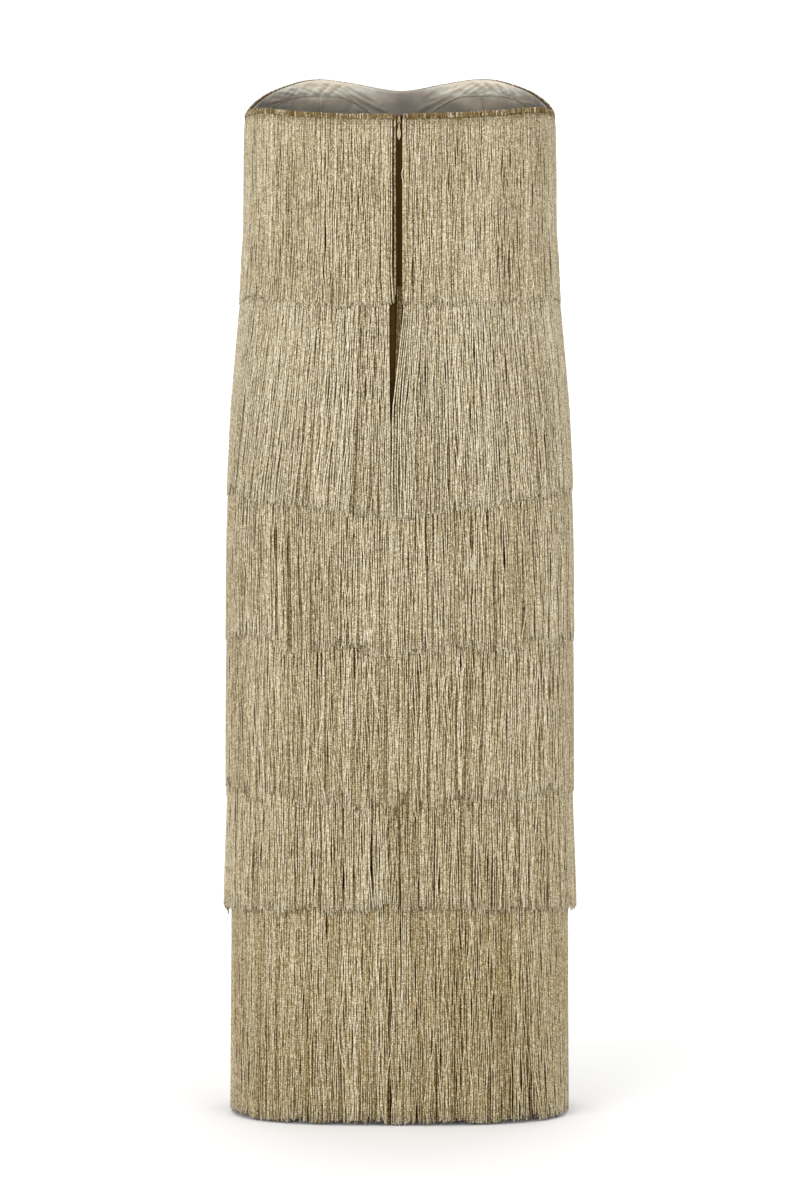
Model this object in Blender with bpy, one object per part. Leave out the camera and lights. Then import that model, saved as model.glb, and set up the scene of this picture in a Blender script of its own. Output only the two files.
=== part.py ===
"""Strapless maxi dress with six tiers of cord fringe, hollow and in its worn form.

Metres, +Z up, the wearer faces -Y. The origin is on the body's axis at the height of the underarms.
A place on the dress is a turn and a height. Turns are quarters of a ring, counted from the centre back:
0 is the centre back, 1 the wearer's left side, 2 the centre front and 3 the right side.
"""

import math
from collections import namedtuple

import bmesh
import bpy
import numpy as np

# Rings of the under-dress
HEM = -1.083
Ring = namedtuple("Ring", "height half_width back front square")
BODY = (
    Ring(0.055, 0.1610, 0.0985, 0.0990, 2.45),
    Ring(0.020, 0.1630, 0.1000, 0.1035, 2.50),
    Ring(-0.010, 0.1645, 0.1010, 0.1055, 2.50),
    Ring(-0.080, 0.1655, 0.1010, 0.1060, 2.50),
    Ring(-0.120, 0.1655, 0.1000, 0.1040, 2.50),
    Ring(-0.160, 0.1664, 0.0998, 0.1036, 2.50),
    Ring(-0.200, 0.1676, 0.1000, 0.1040, 2.50),
    Ring(-0.270, 0.1730, 0.1035, 0.1070, 2.55),
    Ring(-0.330, 0.1775, 0.1070, 0.1100, 2.60),
    Ring(-0.400, 0.1808, 0.1105, 0.1125, 2.65),
    Ring(-0.480, 0.1822, 0.1135, 0.1135, 2.70),
    Ring(-0.600, 0.1824, 0.1150, 0.1130, 2.75),
    Ring(-0.720, 0.1806, 0.1145, 0.1120, 2.75),
    Ring(-0.833, 0.1782, 0.1145, 0.1125, 2.80),
    Ring(-0.950, 0.1777, 0.1150, 0.1130, 2.85),
    Ring(HEM, 0.1777, 0.1155, 0.1135, 2.90),
)
BUST_OUT = 0.022
BUST_X = 0.094
BUST_HEIGHT = -0.045
BUST_WIDTH = 0.045
BUST_TALL = 0.058
# Heights of the top edge by turn
TOP_EDGE = (
    (0.0, -0.0275),
    (0.3, -0.0262),
    (0.5, -0.0218),
    (0.7, -0.0142),
    (0.8, -0.0122),
    (0.9, -0.0136),
    (1.0, -0.0114),
    (1.1, 0.0000),
    (1.2, 0.0118),
    (1.3, 0.0248),
    (1.4, 0.0344),
    (1.5, 0.0422),
    (1.6, 0.0445),
    (1.7, 0.0422),
    (1.8, 0.0387),
    (1.9, 0.0340),
    (2.0, 0.0310),
)
QUARTER_COLUMNS = 10
RING_STEPS = 241
SAME_TURN = 1e-4
SHARP_ANGLE = math.radians(40)
QUARTER_LENGTH = 0.235
UPPER_ROW_SHARES = (0.20, 0.40, 0.60, 0.80)
TOP_BAND = 0.0085
LAST_LOW_ROW = -0.080
WALL = 0.0012
CLEAR = 0.0003

# Centre back opening
ZIP_END = -0.340
ZIP_PARTED = 0.0014
ZIP_PARTED_TO = -0.042
ZIP_CLOSED_FROM = -0.060
TAPE_WIDTH = 0.013
TAPE_THICK = 0.0010
CHAIN_HALF_WIDTH = 0.0014
CHAIN_THICK = 0.0015
SLIDER_TOP = -0.0290
SLIDER_TALL = 0.0100
SLIDER_HALF_WIDTH = 0.0036
SLIDER_THICK = 0.0034
BRIDGE_HALF_WIDTH = 0.0007
BRIDGE_TALL = 0.0062
BRIDGE_OUT = 0.0040
EYE_OUT = 0.0023
EYE_RADIUS = 0.0011
EYE_SIDES = 16
EYE_CUT = 0.0042
PULL_THICK = 0.0009
PULL_BAR = 0.0009
RING_HALF_WIDTH = 0.0020
RING_HOLE_HALF_WIDTH = 0.0012
RING_TALL = 0.0050
DROP_TOP = -0.0050
DROP_END = -0.0210
DROP_HALF_WIDTH = 0.0020
DROP_STEPS = 12
DROP_LEAN = 1.5
DROP_ROUND = 0.8
DROP_NECK = 0.31

# Front lining with its cups
LINING_THICK = 0.0010
LINING_BELOW_EDGE = 0.0005
CUP_BOTTOM = -0.120
LINING_CLEAR = 0.0006
# Heights of the cup seam by turn
CUP_SEAM = (
    (1.20, 0.0002),
    (1.30, 0.0102),
    (1.40, 0.0210),
    (1.46, 0.0247),
    (1.54, 0.0268),
    (1.66, 0.0274),
    (1.71, 0.0258),
    (1.77, 0.0203),
    (1.83, 0.0124),
    (1.88, 0.0045),
    (1.96, -0.0080),
)
CUP_OUTER_TURN = 1.02
CUP_UPRIGHT_TURN = 1.585
CUP_INNER_TURN = 1.96
UPPER_LINING_TURN = 1.20

# Fringe
LOCK_GAP = 0.0016
LOCK_THICK = 0.0023
HEADER_TALL = 0.008
HEADER_CLEAR = 0.0006
HEADER_THICK = 0.0017
HEADER_BELOW_EDGE = 0.0005
LAP_BELOW = 0.006
NEXT_ABOVE = 0.004
RAGGED = 0.0022
RAGGED_BY_LOCK = 2.4
RAGGED_BY_TIER = 1.7
FRINGE_END_ABOVE_HEM = 0.0020
# Heights of each header, the cords' length, and how far the cords stand out where they come from under
# the tier above, over the next header and at their end
Tier = namedtuple("Tier", "name back side front length lap_out next_out end_out")
TIERS = (
    Tier("fringe_tier_1", None, None, None, 0.200, 0.0033, 0.0058, 0.0063),
    Tier("fringe_tier_2", -0.203, -0.170, -0.120, 0.245, 0.0035, 0.0066, 0.0067),
    Tier("fringe_tier_3", -0.347, -0.327, -0.300, 0.245, 0.0038, 0.0056, 0.0066),
    Tier("fringe_tier_4", -0.504, -0.490, -0.480, 0.245, 0.0037, 0.0052, 0.0064),
    Tier("fringe_tier_5", -0.612, -0.616, -0.612, 0.245, 0.0036, 0.0078, 0.0090),
    Tier("fringe_tier_6", -0.833, -0.833, -0.833, 0.246, 0.0026, 0.0028, 0.0032),
)
OPEN_TIERS = 2
Split = namedtuple("Split", "left right")
SPLIT_AT_HEADER = Split(0.0073, 0.0047)
SPLIT_BELOW = (Split(0.0078, 0.0058), Split(0.0014, 0.0014))
LAST_TIER_MIDDLE = -0.950

COLOURS = {
    "shell": (0.235, 0.150, 0.052, 0.55, 0.0),
    "lining": (0.330, 0.290, 0.240, 0.30, 0.0),
    "fringe": (0.440, 0.370, 0.235, 0.38, 0.6),
    "tape": (0.120, 0.075, 0.025, 0.80, 0.0),
    "brass": (0.700, 0.520, 0.250, 0.30, 1.0),
    "cream": (0.800, 0.740, 0.600, 0.35, 0.0),
}


def in_table(rows, at, column=1):
    """A column of a table, between its rows, at a value of the first column."""
    rows = sorted(rows)
    return float(np.interp(at, [row[0] for row in rows], [row[column] for row in rows]))


def ring_at(height):
    """The sizes of the ring at a height."""
    return Ring(height, *(in_table(BODY, height, column) for column in range(1, len(Ring._fields))))


def mirrored(turn):
    """The same place on the wearer's left half."""
    return min(turn % 4, 4 - turn % 4)


def turns(width):
    """The turns that a width along the cloth takes up."""
    return width / QUARTER_LENGTH


def top_edge(turn):
    return in_table(TOP_EDGE, mirrored(turn))


def bust(x, height):
    """How far the bust moves the front out, and its slope along x."""
    level = math.exp(-((height - BUST_HEIGHT) ** 2) / (2 * BUST_TALL**2))
    across = (abs(x) - BUST_X) / BUST_WIDTH
    out = BUST_OUT * level * math.exp(-across * across / 2)
    return out, -out * across / BUST_WIDTH * (1 if x >= 0 else -1)


def on_quarter(share, half_width, depth, square):
    """A point and outward normal on a quarter ring, at a share of its length from centre to side."""
    angles = np.linspace(0, math.pi / 2, RING_STEPS)
    x = half_width * np.sin(angles) ** (2 / square)
    y = depth * np.abs(np.cos(angles)) ** (2 / square)
    y[-1] = 0
    along = np.concatenate(([0], np.cumsum(np.hypot(np.diff(x), np.diff(y)))))
    at = share * along[-1]
    x = float(np.interp(at, along, x))
    y = float(np.interp(at, along, y))
    slope_x = (x / half_width) ** (square - 1) / half_width
    slope_y = (y / depth) ** (square - 1) / depth
    size = math.hypot(slope_x, slope_y)
    return x, y, slope_x / size, slope_y / size


def ring_point(turn, height):
    """A point of the under-dress's outer face, with its outward normal."""
    quarter = int(turn) % 4
    share = turn - int(turn)
    if quarter % 2:
        share = 1 - share
    side = 1 if quarter < 2 else -1
    back = quarter in (0, 3)
    ring = ring_at(height)
    depth = ring.back if back else ring.front
    x, y, normal_x, normal_y = on_quarter(share, ring.half_width, depth, ring.square)
    x, normal_x = side * x, side * normal_x
    if back:
        return x, y, normal_x, normal_y
    out, slope = bust(x, height)
    normal_x -= slope * normal_y
    size = math.hypot(normal_x, normal_y)
    return x, -y - out, normal_x / size, -normal_y / size


def upper_rows(turn):
    """The heights of the rows over the bust at a turn, from the lowest."""
    span = top_edge(turn) - TOP_BAND - LAST_LOW_ROW
    return [LAST_LOW_ROW + share * span for share in UPPER_ROW_SHARES]


def row_heights(turn):
    """The heights of the rows at a turn, from the hem to the top edge."""
    low = [ring.height for ring in sorted(BODY) if ring.height <= LAST_LOW_ROW]
    top = top_edge(turn)
    return low + upper_rows(turn) + [top - TOP_BAND, top]


def make_columns():
    """For each column of the under-dress: heights, x, y and the normal's x and y."""
    columns = []
    for number in range(4 * QUARTER_COLUMNS):
        turn = number / QUARTER_COLUMNS
        heights = row_heights(turn)
        rows = np.array([ring_point(turn, height) for height in heights])
        columns.append((np.array(heights), rows))
    return columns


COLUMNS = make_columns()


def place(turn, height, out):
    """A point on the faces of the under-dress, moved out."""
    at = (turn % 4) * QUARTER_COLUMNS
    first = int(math.floor(at + SAME_TURN / QUARTER_COLUMNS))
    share = max(0.0, at - first)
    found = np.zeros(4)
    for number, weight in ((first, 1 - share), (first + 1, share)):
        heights, rows = COLUMNS[number % len(COLUMNS)]
        found += weight * np.array([np.interp(height, heights, rows[:, k]) for k in range(4)])
    return np.array((found[0] + out * found[2], found[1] + out * found[3], height))


def outward(turn, height):
    """The level direction away from the cloth."""
    step = place(turn, height, 1.0) - place(turn, height, 0.0)
    return step / np.linalg.norm(step)


def hung(turn, height, root, out):
    """A point of a cord that hangs from a root height and falls plumb from the furthest cloth above it."""
    direction = outward(turn, height)
    heights = [height, root] + [h for h in row_heights(turn) if height < h < root]
    points = [place(turn, h, 0.0) for h in heights]
    furthest = max(points, key=lambda point: float(point @ direction))
    return np.array((furthest[0], furthest[1], height)) + out * direction


def material(name, key):
    red, green, blue, rough, metal = COLOURS[key]
    made = bpy.data.materials.new(name)
    made.use_nodes = True
    shader = made.node_tree.nodes["Principled BSDF"]
    shader.inputs["Base Color"].default_value = (red, green, blue, 1)
    shader.inputs["Roughness"].default_value = rough
    shader.inputs["Metallic"].default_value = metal
    made.diffuse_color = (red, green, blue, 1)
    return made


def add(name, mesh, key, smooth=True):
    """A named node from a mesh, with a material of its own."""
    mesh.name = name
    node = bpy.data.objects.new(name, mesh)
    bpy.context.scene.collection.objects.link(node)
    mesh.materials.append(material(name, key))
    mesh.polygons.foreach_set("use_smooth", [smooth] * len(mesh.polygons))
    if smooth:
        mesh.set_sharp_from_angle(angle=SHARP_ANGLE)
    return node


def mesh_of(points, faces):
    """A mesh with its faces turned outwards."""
    mesh = bpy.data.meshes.new("mesh")
    mesh.from_pydata([tuple(point) for point in points], [], faces)
    shape = bmesh.new()
    shape.from_mesh(mesh)
    bmesh.ops.recalc_face_normals(shape, faces=shape.faces)
    shape.to_mesh(mesh)
    shape.free()
    return mesh


def panel(name, key, start, stop, rows, out, thick):
    """A cloth wall between two edges, which may lean with the height, with the same rows in each column."""
    lowest = rows((start(0) + stop(0)) / 2)[0]
    first, last = start(lowest), stop(lowest)
    inner = [
        n / QUARTER_COLUMNS
        for n in range(math.ceil(first * QUARTER_COLUMNS), math.floor(last * QUARTER_COLUMNS) + 1)
        if first + SAME_TURN < n / QUARTER_COLUMNS < last - SAME_TURN
    ]
    edges = [start] + [lambda height, turn=turn: turn for turn in inner] + [stop]
    nominal = [first] + inner + [last]
    points = []
    for edge, turn in zip(edges, nominal):
        for height in rows(turn):
            at = edge(height)
            points.append(place(at, height, out))
            points.append(place(at, height, out - thick))
    tall = len(rows(first))
    wide = len(nominal)

    def index(column, row, back):
        return (column * tall + row) * 2 + back

    faces = []
    for c in range(wide - 1):
        for r in range(tall - 1):
            for back in (0, 1):
                low = (index(c, r, back), index(c + 1, r, back))
                faces.append((*low, index(c + 1, r + 1, back), index(c, r + 1, back)))
        for r in (0, tall - 1):
            faces.append((index(c, r, 0), index(c + 1, r, 0), index(c + 1, r, 1), index(c, r, 1)))
    for r in range(tall - 1):
        for c in (0, wide - 1):
            faces.append((index(c, r, 0), index(c, r + 1, 0), index(c, r + 1, 1), index(c, r, 1)))
    return add(name, mesh_of(points, faces), key)


def at_turn(turn):
    return lambda height: turn


def seam_edge(height):
    """Half the opening at the centre back, in turns."""
    reach = np.interp(height, (ZIP_CLOSED_FROM, ZIP_PARTED_TO), (CLEAR / 2, ZIP_PARTED))
    return turns(float(reach))


def build_shell():
    half = turns(CLEAR / 2)
    pieces = (
        ("back_left_shell", seam_edge, at_turn(1 - half)),
        ("front_shell", at_turn(1 + half), at_turn(3 - half)),
        ("back_right_shell", at_turn(3 + half), lambda height: 4 - seam_edge(height)),
    )
    for name, start, stop in pieces:
        panel(name, "shell", start, stop, row_heights, 0, WALL)


def lining_top(turn):
    return top_edge(turn) - LINING_BELOW_EDGE


def cup_seam(turn):
    return in_table(CUP_SEAM, mirrored(turn))


def build_lining():
    """The upper lining runs across the front and down between the cups; each lower cup is two pieces."""
    out = -WALL - LINING_CLEAR
    half = turns(CLEAR / 2)

    def low_rows(turn):
        return [CUP_BOTTOM, LAST_LOW_ROW] + upper_rows(turn)[:-1]

    def cup_rows(turn):
        if mirrored(turn) < UPPER_LINING_TURN:
            return low_rows(turn) + [lining_top(turn)]
        return low_rows(turn) + [cup_seam(turn) - 2 * CLEAR]

    def band_rows(turn):
        low, high = cup_seam(turn), lining_top(turn)
        return [low, (low + high) / 2, high]

    first, upright, last = CUP_OUTER_TURN, CUP_UPRIGHT_TURN, CUP_INNER_TURN
    pieces = (
        ("lining_cup_left_outer", first, upright - half, cup_rows),
        ("lining_cup_left_inner", upright + half, last, cup_rows),
        ("lining_centre", last + 2 * half, 4 - last - 2 * half, cup_rows),
        ("lining_cup_right_inner", 4 - last, 4 - upright - half, cup_rows),
        ("lining_cup_right_outer", 4 - upright + half, 4 - first, cup_rows),
        ("lining_upper", UPPER_LINING_TURN, 4 - UPPER_LINING_TURN, band_rows),
    )
    for name, start, stop, rows in pieces:
        panel(name, "lining", at_turn(start), at_turn(stop), rows, out, LINING_THICK)


def eased(low, high, share):
    """A value between two others that starts and ends level."""
    return low + (high - low) * (1 - math.cos(math.pi * share)) / 2


def header_top(tier, turn):
    """The height of a tier's header at a turn."""
    heights = TIERS[tier]
    if heights.back is None:
        return top_edge(turn) - HEADER_BELOW_EDGE
    turn = mirrored(turn)
    if turn < 1:
        return eased(heights.back, heights.side, turn)
    return eased(heights.side, heights.front, turn - 1)


def tier_end(tier, turn):
    """The height at which a tier's cords end."""
    return header_top(tier, turn) - TIERS[tier].length


def lock_sections(tier, turn):
    """Heights and outer offsets of a lock's sections between its header and its end."""
    lap_out, next_out = TIERS[tier].lap_out, TIERS[tier].next_out
    if tier == 0:
        upper = upper_rows(turn)
        sections = [(height, lap_out) for height in upper[::-1]]
    else:
        sections = [(tier_end(tier - 1, turn) - LAP_BELOW, lap_out)]
    if tier < len(TIERS) - 1:
        sections.append((header_top(tier + 1, turn) + NEXT_ABOVE, next_out))
    else:
        sections.append((LAST_TIER_MIDDLE, next_out))
    return sections


def lock_edges(tier):
    """The turns between which each lock hangs, at the header and below it."""
    count = 4 * QUARTER_COLUMNS
    half = turns(LOCK_GAP / 2)
    edges = [[n / QUARTER_COLUMNS + half, (n + 1) / QUARTER_COLUMNS - half] for n in range(count)]
    below = [list(edge) for edge in edges]
    if tier < OPEN_TIERS:
        edges[0][0] = turns(SPLIT_AT_HEADER.left)
        edges[-1][1] = 4 - turns(SPLIT_AT_HEADER.right)
        below[0][0] = turns(SPLIT_BELOW[tier].left)
        below[-1][1] = 4 - turns(SPLIT_BELOW[tier].right)
    return edges, below


def build_tier(tier):
    """A header strip with its locks, as one solid."""
    points = []
    faces = []

    def corner(point):
        points.append(point)
        return len(points) - 1

    edges, below = lock_edges(tier)
    columns = []
    for edge in edges:
        for turn in edge:
            top = header_top(tier, turn)
            columns.append(
                [
                    corner(place(turn, height, out))
                    for height in (top, top - HEADER_TALL)
                    for out in (HEADER_CLEAR, HEADER_CLEAR + HEADER_THICK)
                ]
            )
    open_back = tier < OPEN_TIERS
    for c in range(len(columns) - (1 if open_back else 0)):
        top_in, top_out, low_in, low_out = columns[c]
        next_top_in, next_top_out, next_low_in, next_low_out = columns[(c + 1) % len(columns)]
        faces.append((top_in, next_top_in, next_top_out, top_out))
        faces.append((top_out, next_top_out, next_low_out, low_out))
        faces.append((top_in, low_in, next_low_in, next_top_in))
        if c % 2:
            faces.append((low_in, low_out, next_low_out, next_low_in))
    if open_back:
        for top_in, top_out, low_in, low_out in (columns[0], columns[-1]):
            faces.append((top_in, top_out, low_out, low_in))
    for lock, (left, right) in enumerate(below):
        (_, _, *first), (_, _, *last) = columns[2 * lock], columns[2 * lock + 1]
        root = first + last[::-1]
        middle = (left + right) / 2
        ragged = RAGGED * math.sin(RAGGED_BY_LOCK * lock + RAGGED_BY_TIER * tier)
        end = max(tier_end(tier, middle) + ragged, HEM + FRINGE_END_ABOVE_HEM)
        end_section = [(end, TIERS[tier].end_out)]
        left_sections = lock_sections(tier, left) + end_section
        right_sections = lock_sections(tier, right) + end_section
        for pair in zip(left_sections, right_sections):
            ring = []
            for turn, (height, out) in zip((left, right), pair):
                from_height = header_top(tier, turn) - HEADER_TALL
                outs = [max(HEADER_CLEAR, out - LOCK_THICK), out]
                if turn == right:
                    outs.reverse()
                ring += [corner(hung(turn, height, from_height, o)) for o in outs]
            for k in range(4):
                faces.append((root[k], root[(k + 1) % 4], ring[(k + 1) % 4], ring[k]))
            root = ring
        faces.append(tuple(root))
    add(TIERS[tier][0], mesh_of(points, faces), "fringe", smooth=False)


def zip_rows(turn):
    """The heights of the tapes' rows, from the zip's end up."""
    rows = [h for h in row_heights(turn) if h > ZIP_END]
    return [ZIP_END] + rows[:-1] + [rows[-1] - HEADER_BELOW_EDGE]


def back_y(height, out):
    """How far back the cloth is at the centre back."""
    return float(place(0, height, out)[1])


def box(low, high):
    """A box between two corners."""
    shape = bmesh.new()
    bmesh.ops.create_cube(shape, size=1)
    for vert in shape.verts:
        for k in range(3):
            vert.co[k] = high[k] if vert.co[k] > 0 else low[k]
    mesh = bpy.data.meshes.new("box")
    shape.to_mesh(mesh)
    shape.free()
    return mesh


def cut_or_join(target, mesh, operation):
    """Joins a mesh to a node, or cuts it away."""
    helper = bpy.data.objects.new("helper_" + target.name, mesh)
    bpy.context.scene.collection.objects.link(helper)
    helper.hide_render = True
    helper.display_type = "WIRE"
    change = target.modifiers.new(operation.lower(), "BOOLEAN")
    change.solver = "EXACT"
    change.operation = operation
    change.object = helper


def build_zip():
    out = -WALL - CLEAR
    edge = turns(TAPE_WIDTH)
    pieces = (
        ("zip_tape_left", seam_edge, at_turn(edge)),
        ("zip_tape_right", at_turn(4 - edge), lambda height: 4 - seam_edge(height)),
    )
    for name, start, stop in pieces:
        panel(name, "tape", start, stop, zip_rows, out, TAPE_THICK)

    chain_out = out - TAPE_THICK - CLEAR
    slider_low = SLIDER_TOP - SLIDER_TALL
    heights = [h for h in zip_rows(0) if h < slider_low - CLEAR] + [slider_low - CLEAR]
    points = []
    faces = []
    for height in heights:
        for x, depth in ((-1, 0), (1, 0), (1, 1), (-1, 1)):
            y = back_y(height, chain_out - depth * CHAIN_THICK)
            points.append((x * CHAIN_HALF_WIDTH, y, height))
    for r in range(len(heights) - 1):
        for k in range(4):
            faces.append((4 * r + k, 4 * r + (k + 1) % 4, 4 * r + 4 + (k + 1) % 4, 4 * r + 4 + k))
    faces += [(0, 1, 2, 3), tuple(4 * len(heights) - 4 + k for k in range(4))]
    add("zip_chain", mesh_of(points, faces), "brass")

    cloth = back_y(SLIDER_TOP, 0)
    body_y = back_y(slider_low, chain_out)
    low = (-SLIDER_HALF_WIDTH, body_y - SLIDER_THICK, slider_low)
    slider = add("zip_slider", box(low, (SLIDER_HALF_WIDTH, body_y, SLIDER_TOP)), "brass", smooth=False)
    bridge_top = SLIDER_TOP - CLEAR
    bridge_low = bridge_top - BRIDGE_TALL
    low = (-BRIDGE_HALF_WIDTH, body_y - SLIDER_THICK / 2, bridge_low)
    cut_or_join(slider, box(low, (BRIDGE_HALF_WIDTH, cloth + BRIDGE_OUT, bridge_top)), "UNION")
    eye_height = (bridge_top + bridge_low) / 2
    eye = bmesh.new()
    bmesh.ops.create_cone(
        eye, cap_ends=True, segments=EYE_SIDES, radius1=EYE_RADIUS, radius2=EYE_RADIUS, depth=EYE_CUT
    )
    for vert in eye.verts:
        vert.co = (vert.co.z, vert.co.x + cloth + EYE_OUT, vert.co.y + eye_height)
    mesh = bpy.data.meshes.new("eye")
    eye.to_mesh(mesh)
    eye.free()
    cut_or_join(slider, mesh, "DIFFERENCE")
    build_pull(cloth + EYE_OUT, eye_height)


def build_pull(hinge_y, hinge_height):
    """A flat pull with a ring round the slider's bridge and a drop below it."""
    bar = PULL_BAR / 2
    corner = RING_HALF_WIDTH / 3
    right = [(RING_HALF_WIDTH - corner, bar), (RING_HALF_WIDTH, bar - corner)]
    for step in range(DROP_STEPS):
        share = step / DROP_STEPS
        drop = DROP_HALF_WIDTH * math.sin(math.pi * share**DROP_LEAN) ** DROP_ROUND
        neck = RING_HALF_WIDTH * (1 - share / DROP_NECK)
        right.append((max(drop, neck), DROP_TOP + share * (DROP_END - DROP_TOP)))
    outline = right + [(0, DROP_END)] + [(-x, z) for x, z in right[::-1]]
    hole_low = -RING_TALL + PULL_BAR
    wide = RING_HOLE_HALF_WIDTH
    hole = [(-wide, -bar), (wide, -bar), (wide, hole_low), (-wide, hole_low)]
    shape = bmesh.new()
    edges = []
    for loop in (outline, hole):
        verts = [shape.verts.new((x, hinge_y - PULL_THICK / 2, hinge_height + z)) for x, z in loop]
        edges += [shape.edges.new((verts[i], verts[(i + 1) % len(verts)])) for i in range(len(verts))]
    bmesh.ops.triangle_fill(shape, use_beauty=True, edges=edges)
    made = bmesh.ops.extrude_face_region(shape, geom=list(shape.faces))
    moved = [item for item in made["geom"] if isinstance(item, bmesh.types.BMVert)]
    bmesh.ops.translate(shape, verts=moved, vec=(0, PULL_THICK, 0))
    bmesh.ops.recalc_face_normals(shape, faces=shape.faces)
    mesh = bpy.data.meshes.new("pull")
    shape.to_mesh(mesh)
    shape.free()
    add("zip_pull", mesh, "cream", smooth=False)


def main():
    for old in list(bpy.data.objects):
        bpy.data.objects.remove(old, do_unlink=True)
    build_shell()
    build_lining()
    build_zip()
    for tier in range(len(TIERS)):
        build_tier(tier)


main()
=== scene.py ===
"""Strapless maxi dress with six tiers of cord fringe, hollow and in its worn form, in a pale studio.

Metres, +Z up, the wearer faces -Y. A place on the dress is a turn and a height. Turns are quarters of a
ring, counted from the centre back: 1 is the wearer's left side, 2 the centre front and 3 the right side.
"""

import math
from collections import namedtuple

import bpy
import numpy as np
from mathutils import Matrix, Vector


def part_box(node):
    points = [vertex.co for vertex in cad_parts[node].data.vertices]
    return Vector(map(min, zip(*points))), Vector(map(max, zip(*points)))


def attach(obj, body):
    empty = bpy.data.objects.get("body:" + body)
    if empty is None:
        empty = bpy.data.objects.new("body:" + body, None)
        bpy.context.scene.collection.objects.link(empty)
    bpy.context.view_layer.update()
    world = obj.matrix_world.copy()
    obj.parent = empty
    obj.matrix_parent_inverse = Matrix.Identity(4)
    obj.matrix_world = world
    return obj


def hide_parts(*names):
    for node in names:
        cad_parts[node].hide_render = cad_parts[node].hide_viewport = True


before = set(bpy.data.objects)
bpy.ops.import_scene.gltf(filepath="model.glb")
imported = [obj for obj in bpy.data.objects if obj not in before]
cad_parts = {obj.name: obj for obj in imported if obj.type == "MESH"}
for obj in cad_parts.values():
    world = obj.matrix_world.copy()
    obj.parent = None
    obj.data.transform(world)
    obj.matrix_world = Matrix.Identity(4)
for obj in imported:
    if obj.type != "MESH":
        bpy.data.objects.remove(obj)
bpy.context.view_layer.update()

bl_info = {
    "name": "Fringed maxi dress",
    "version": (1, 0, 0),
    "blender": (4, 5, 0),
    "location": "3D View > Sidebar > Dress",
    "description": "Makes the cloth, lining, cord fringe and zip of a strapless maxi dress, and its studio",
    "category": "Object",
}

# Rings of the under-dress
HEM = -1.083
Ring = namedtuple("Ring", "height half_width back front square")
BODY = (
    Ring(0.055, 0.1610, 0.0985, 0.0990, 2.45),
    Ring(0.020, 0.1630, 0.1000, 0.1035, 2.50),
    Ring(-0.010, 0.1645, 0.1010, 0.1055, 2.50),
    Ring(-0.080, 0.1655, 0.1010, 0.1060, 2.50),
    Ring(-0.120, 0.1655, 0.1000, 0.1040, 2.50),
    Ring(-0.160, 0.1664, 0.0998, 0.1036, 2.50),
    Ring(-0.200, 0.1676, 0.1000, 0.1040, 2.50),
    Ring(-0.270, 0.1730, 0.1035, 0.1070, 2.55),
    Ring(-0.330, 0.1775, 0.1070, 0.1100, 2.60),
    Ring(-0.400, 0.1808, 0.1105, 0.1125, 2.65),
    Ring(-0.480, 0.1822, 0.1135, 0.1135, 2.70),
    Ring(-0.600, 0.1824, 0.1150, 0.1130, 2.75),
    Ring(-0.720, 0.1806, 0.1145, 0.1120, 2.75),
    Ring(-0.833, 0.1782, 0.1145, 0.1125, 2.80),
    Ring(-0.950, 0.1777, 0.1150, 0.1130, 2.85),
    Ring(HEM, 0.1777, 0.1155, 0.1135, 2.90),
)
BUST_OUT = 0.022
BUST_X = 0.094
BUST_HEIGHT = -0.045
BUST_WIDTH = 0.045
BUST_TALL = 0.058
BUST_FADE = 0.10
# Heights of the top edge by turn
TOP_EDGE = (
    (0.0, -0.0275), (0.3, -0.0262), (0.5, -0.0218), (0.7, -0.0142), (0.8, -0.0122), (0.9, -0.0136),
    (1.0, -0.0114), (1.1, 0.0000), (1.2, 0.0118), (1.3, 0.0248), (1.4, 0.0344), (1.5, 0.0422),
    (1.6, 0.0445), (1.7, 0.0422), (1.8, 0.0387), (1.9, 0.0340), (2.0, 0.0310),
)
QUARTER_LENGTH = 0.235
RING_LENGTH = 4 * QUARTER_LENGTH
WALL = 0.0012
CLEAR = 0.0003
CREPE_THREAD = 0.0011
CREASES_RAISED = 0.6
CREASES_FULL_BELOW = 0.30
CREASES_FADE_AT_HEM = 0.08
CREASES_LEFT_AT_HEM = 0.25
CREASES_FADE_AT_CUPS = 0.05
CREASES_FADE_AT_EDGE = 0.03

# Centre back opening
ZIP_END = -0.340
ZIP_PARTED = 0.0014
ZIP_PARTED_TO = -0.042
ZIP_CLOSED_FROM = -0.060
TAPE_WIDTH = 0.013
TAPE_THICK = 0.0010
TAPE_THREAD = 0.0009
CHAIN_HALF_WIDTH = 0.0014
COIL_PITCH = 0.0011
COIL_WIRE = 0.0002
COIL_ABOVE_END = 0.001
COIL_BELOW_SLIDER = 0.0008
COIL_BEND = 0.65 * math.pi
COIL_CLIMB = 0.00018
COIL_MIDDLE = CHAIN_HALF_WIDTH * 0.55
COIL_REACH = CHAIN_HALF_WIDTH * 0.62
COIL_INSIDE = 0.00075
COIL_DEEP = 0.00055
SLIDER_LOW = -0.0390
PULL_RING_TALL = 0.0050
PULL_RING_BEND = 0.4
PULL_NECK = 0.0007

# Front lining with its cups
LINING_THICK = 0.0010
LINING_CLEAR = 0.0006
LINING_OUT = -WALL - LINING_CLEAR
CUP_BOTTOM = -0.120
CUP_SEAM = (
    (1.20, 0.0002), (1.30, 0.0102), (1.40, 0.0210), (1.46, 0.0247), (1.54, 0.0268), (1.66, 0.0274),
    (1.71, 0.0258), (1.77, 0.0203), (1.83, 0.0124), (1.88, 0.0045), (1.96, -0.0080),
)
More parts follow.
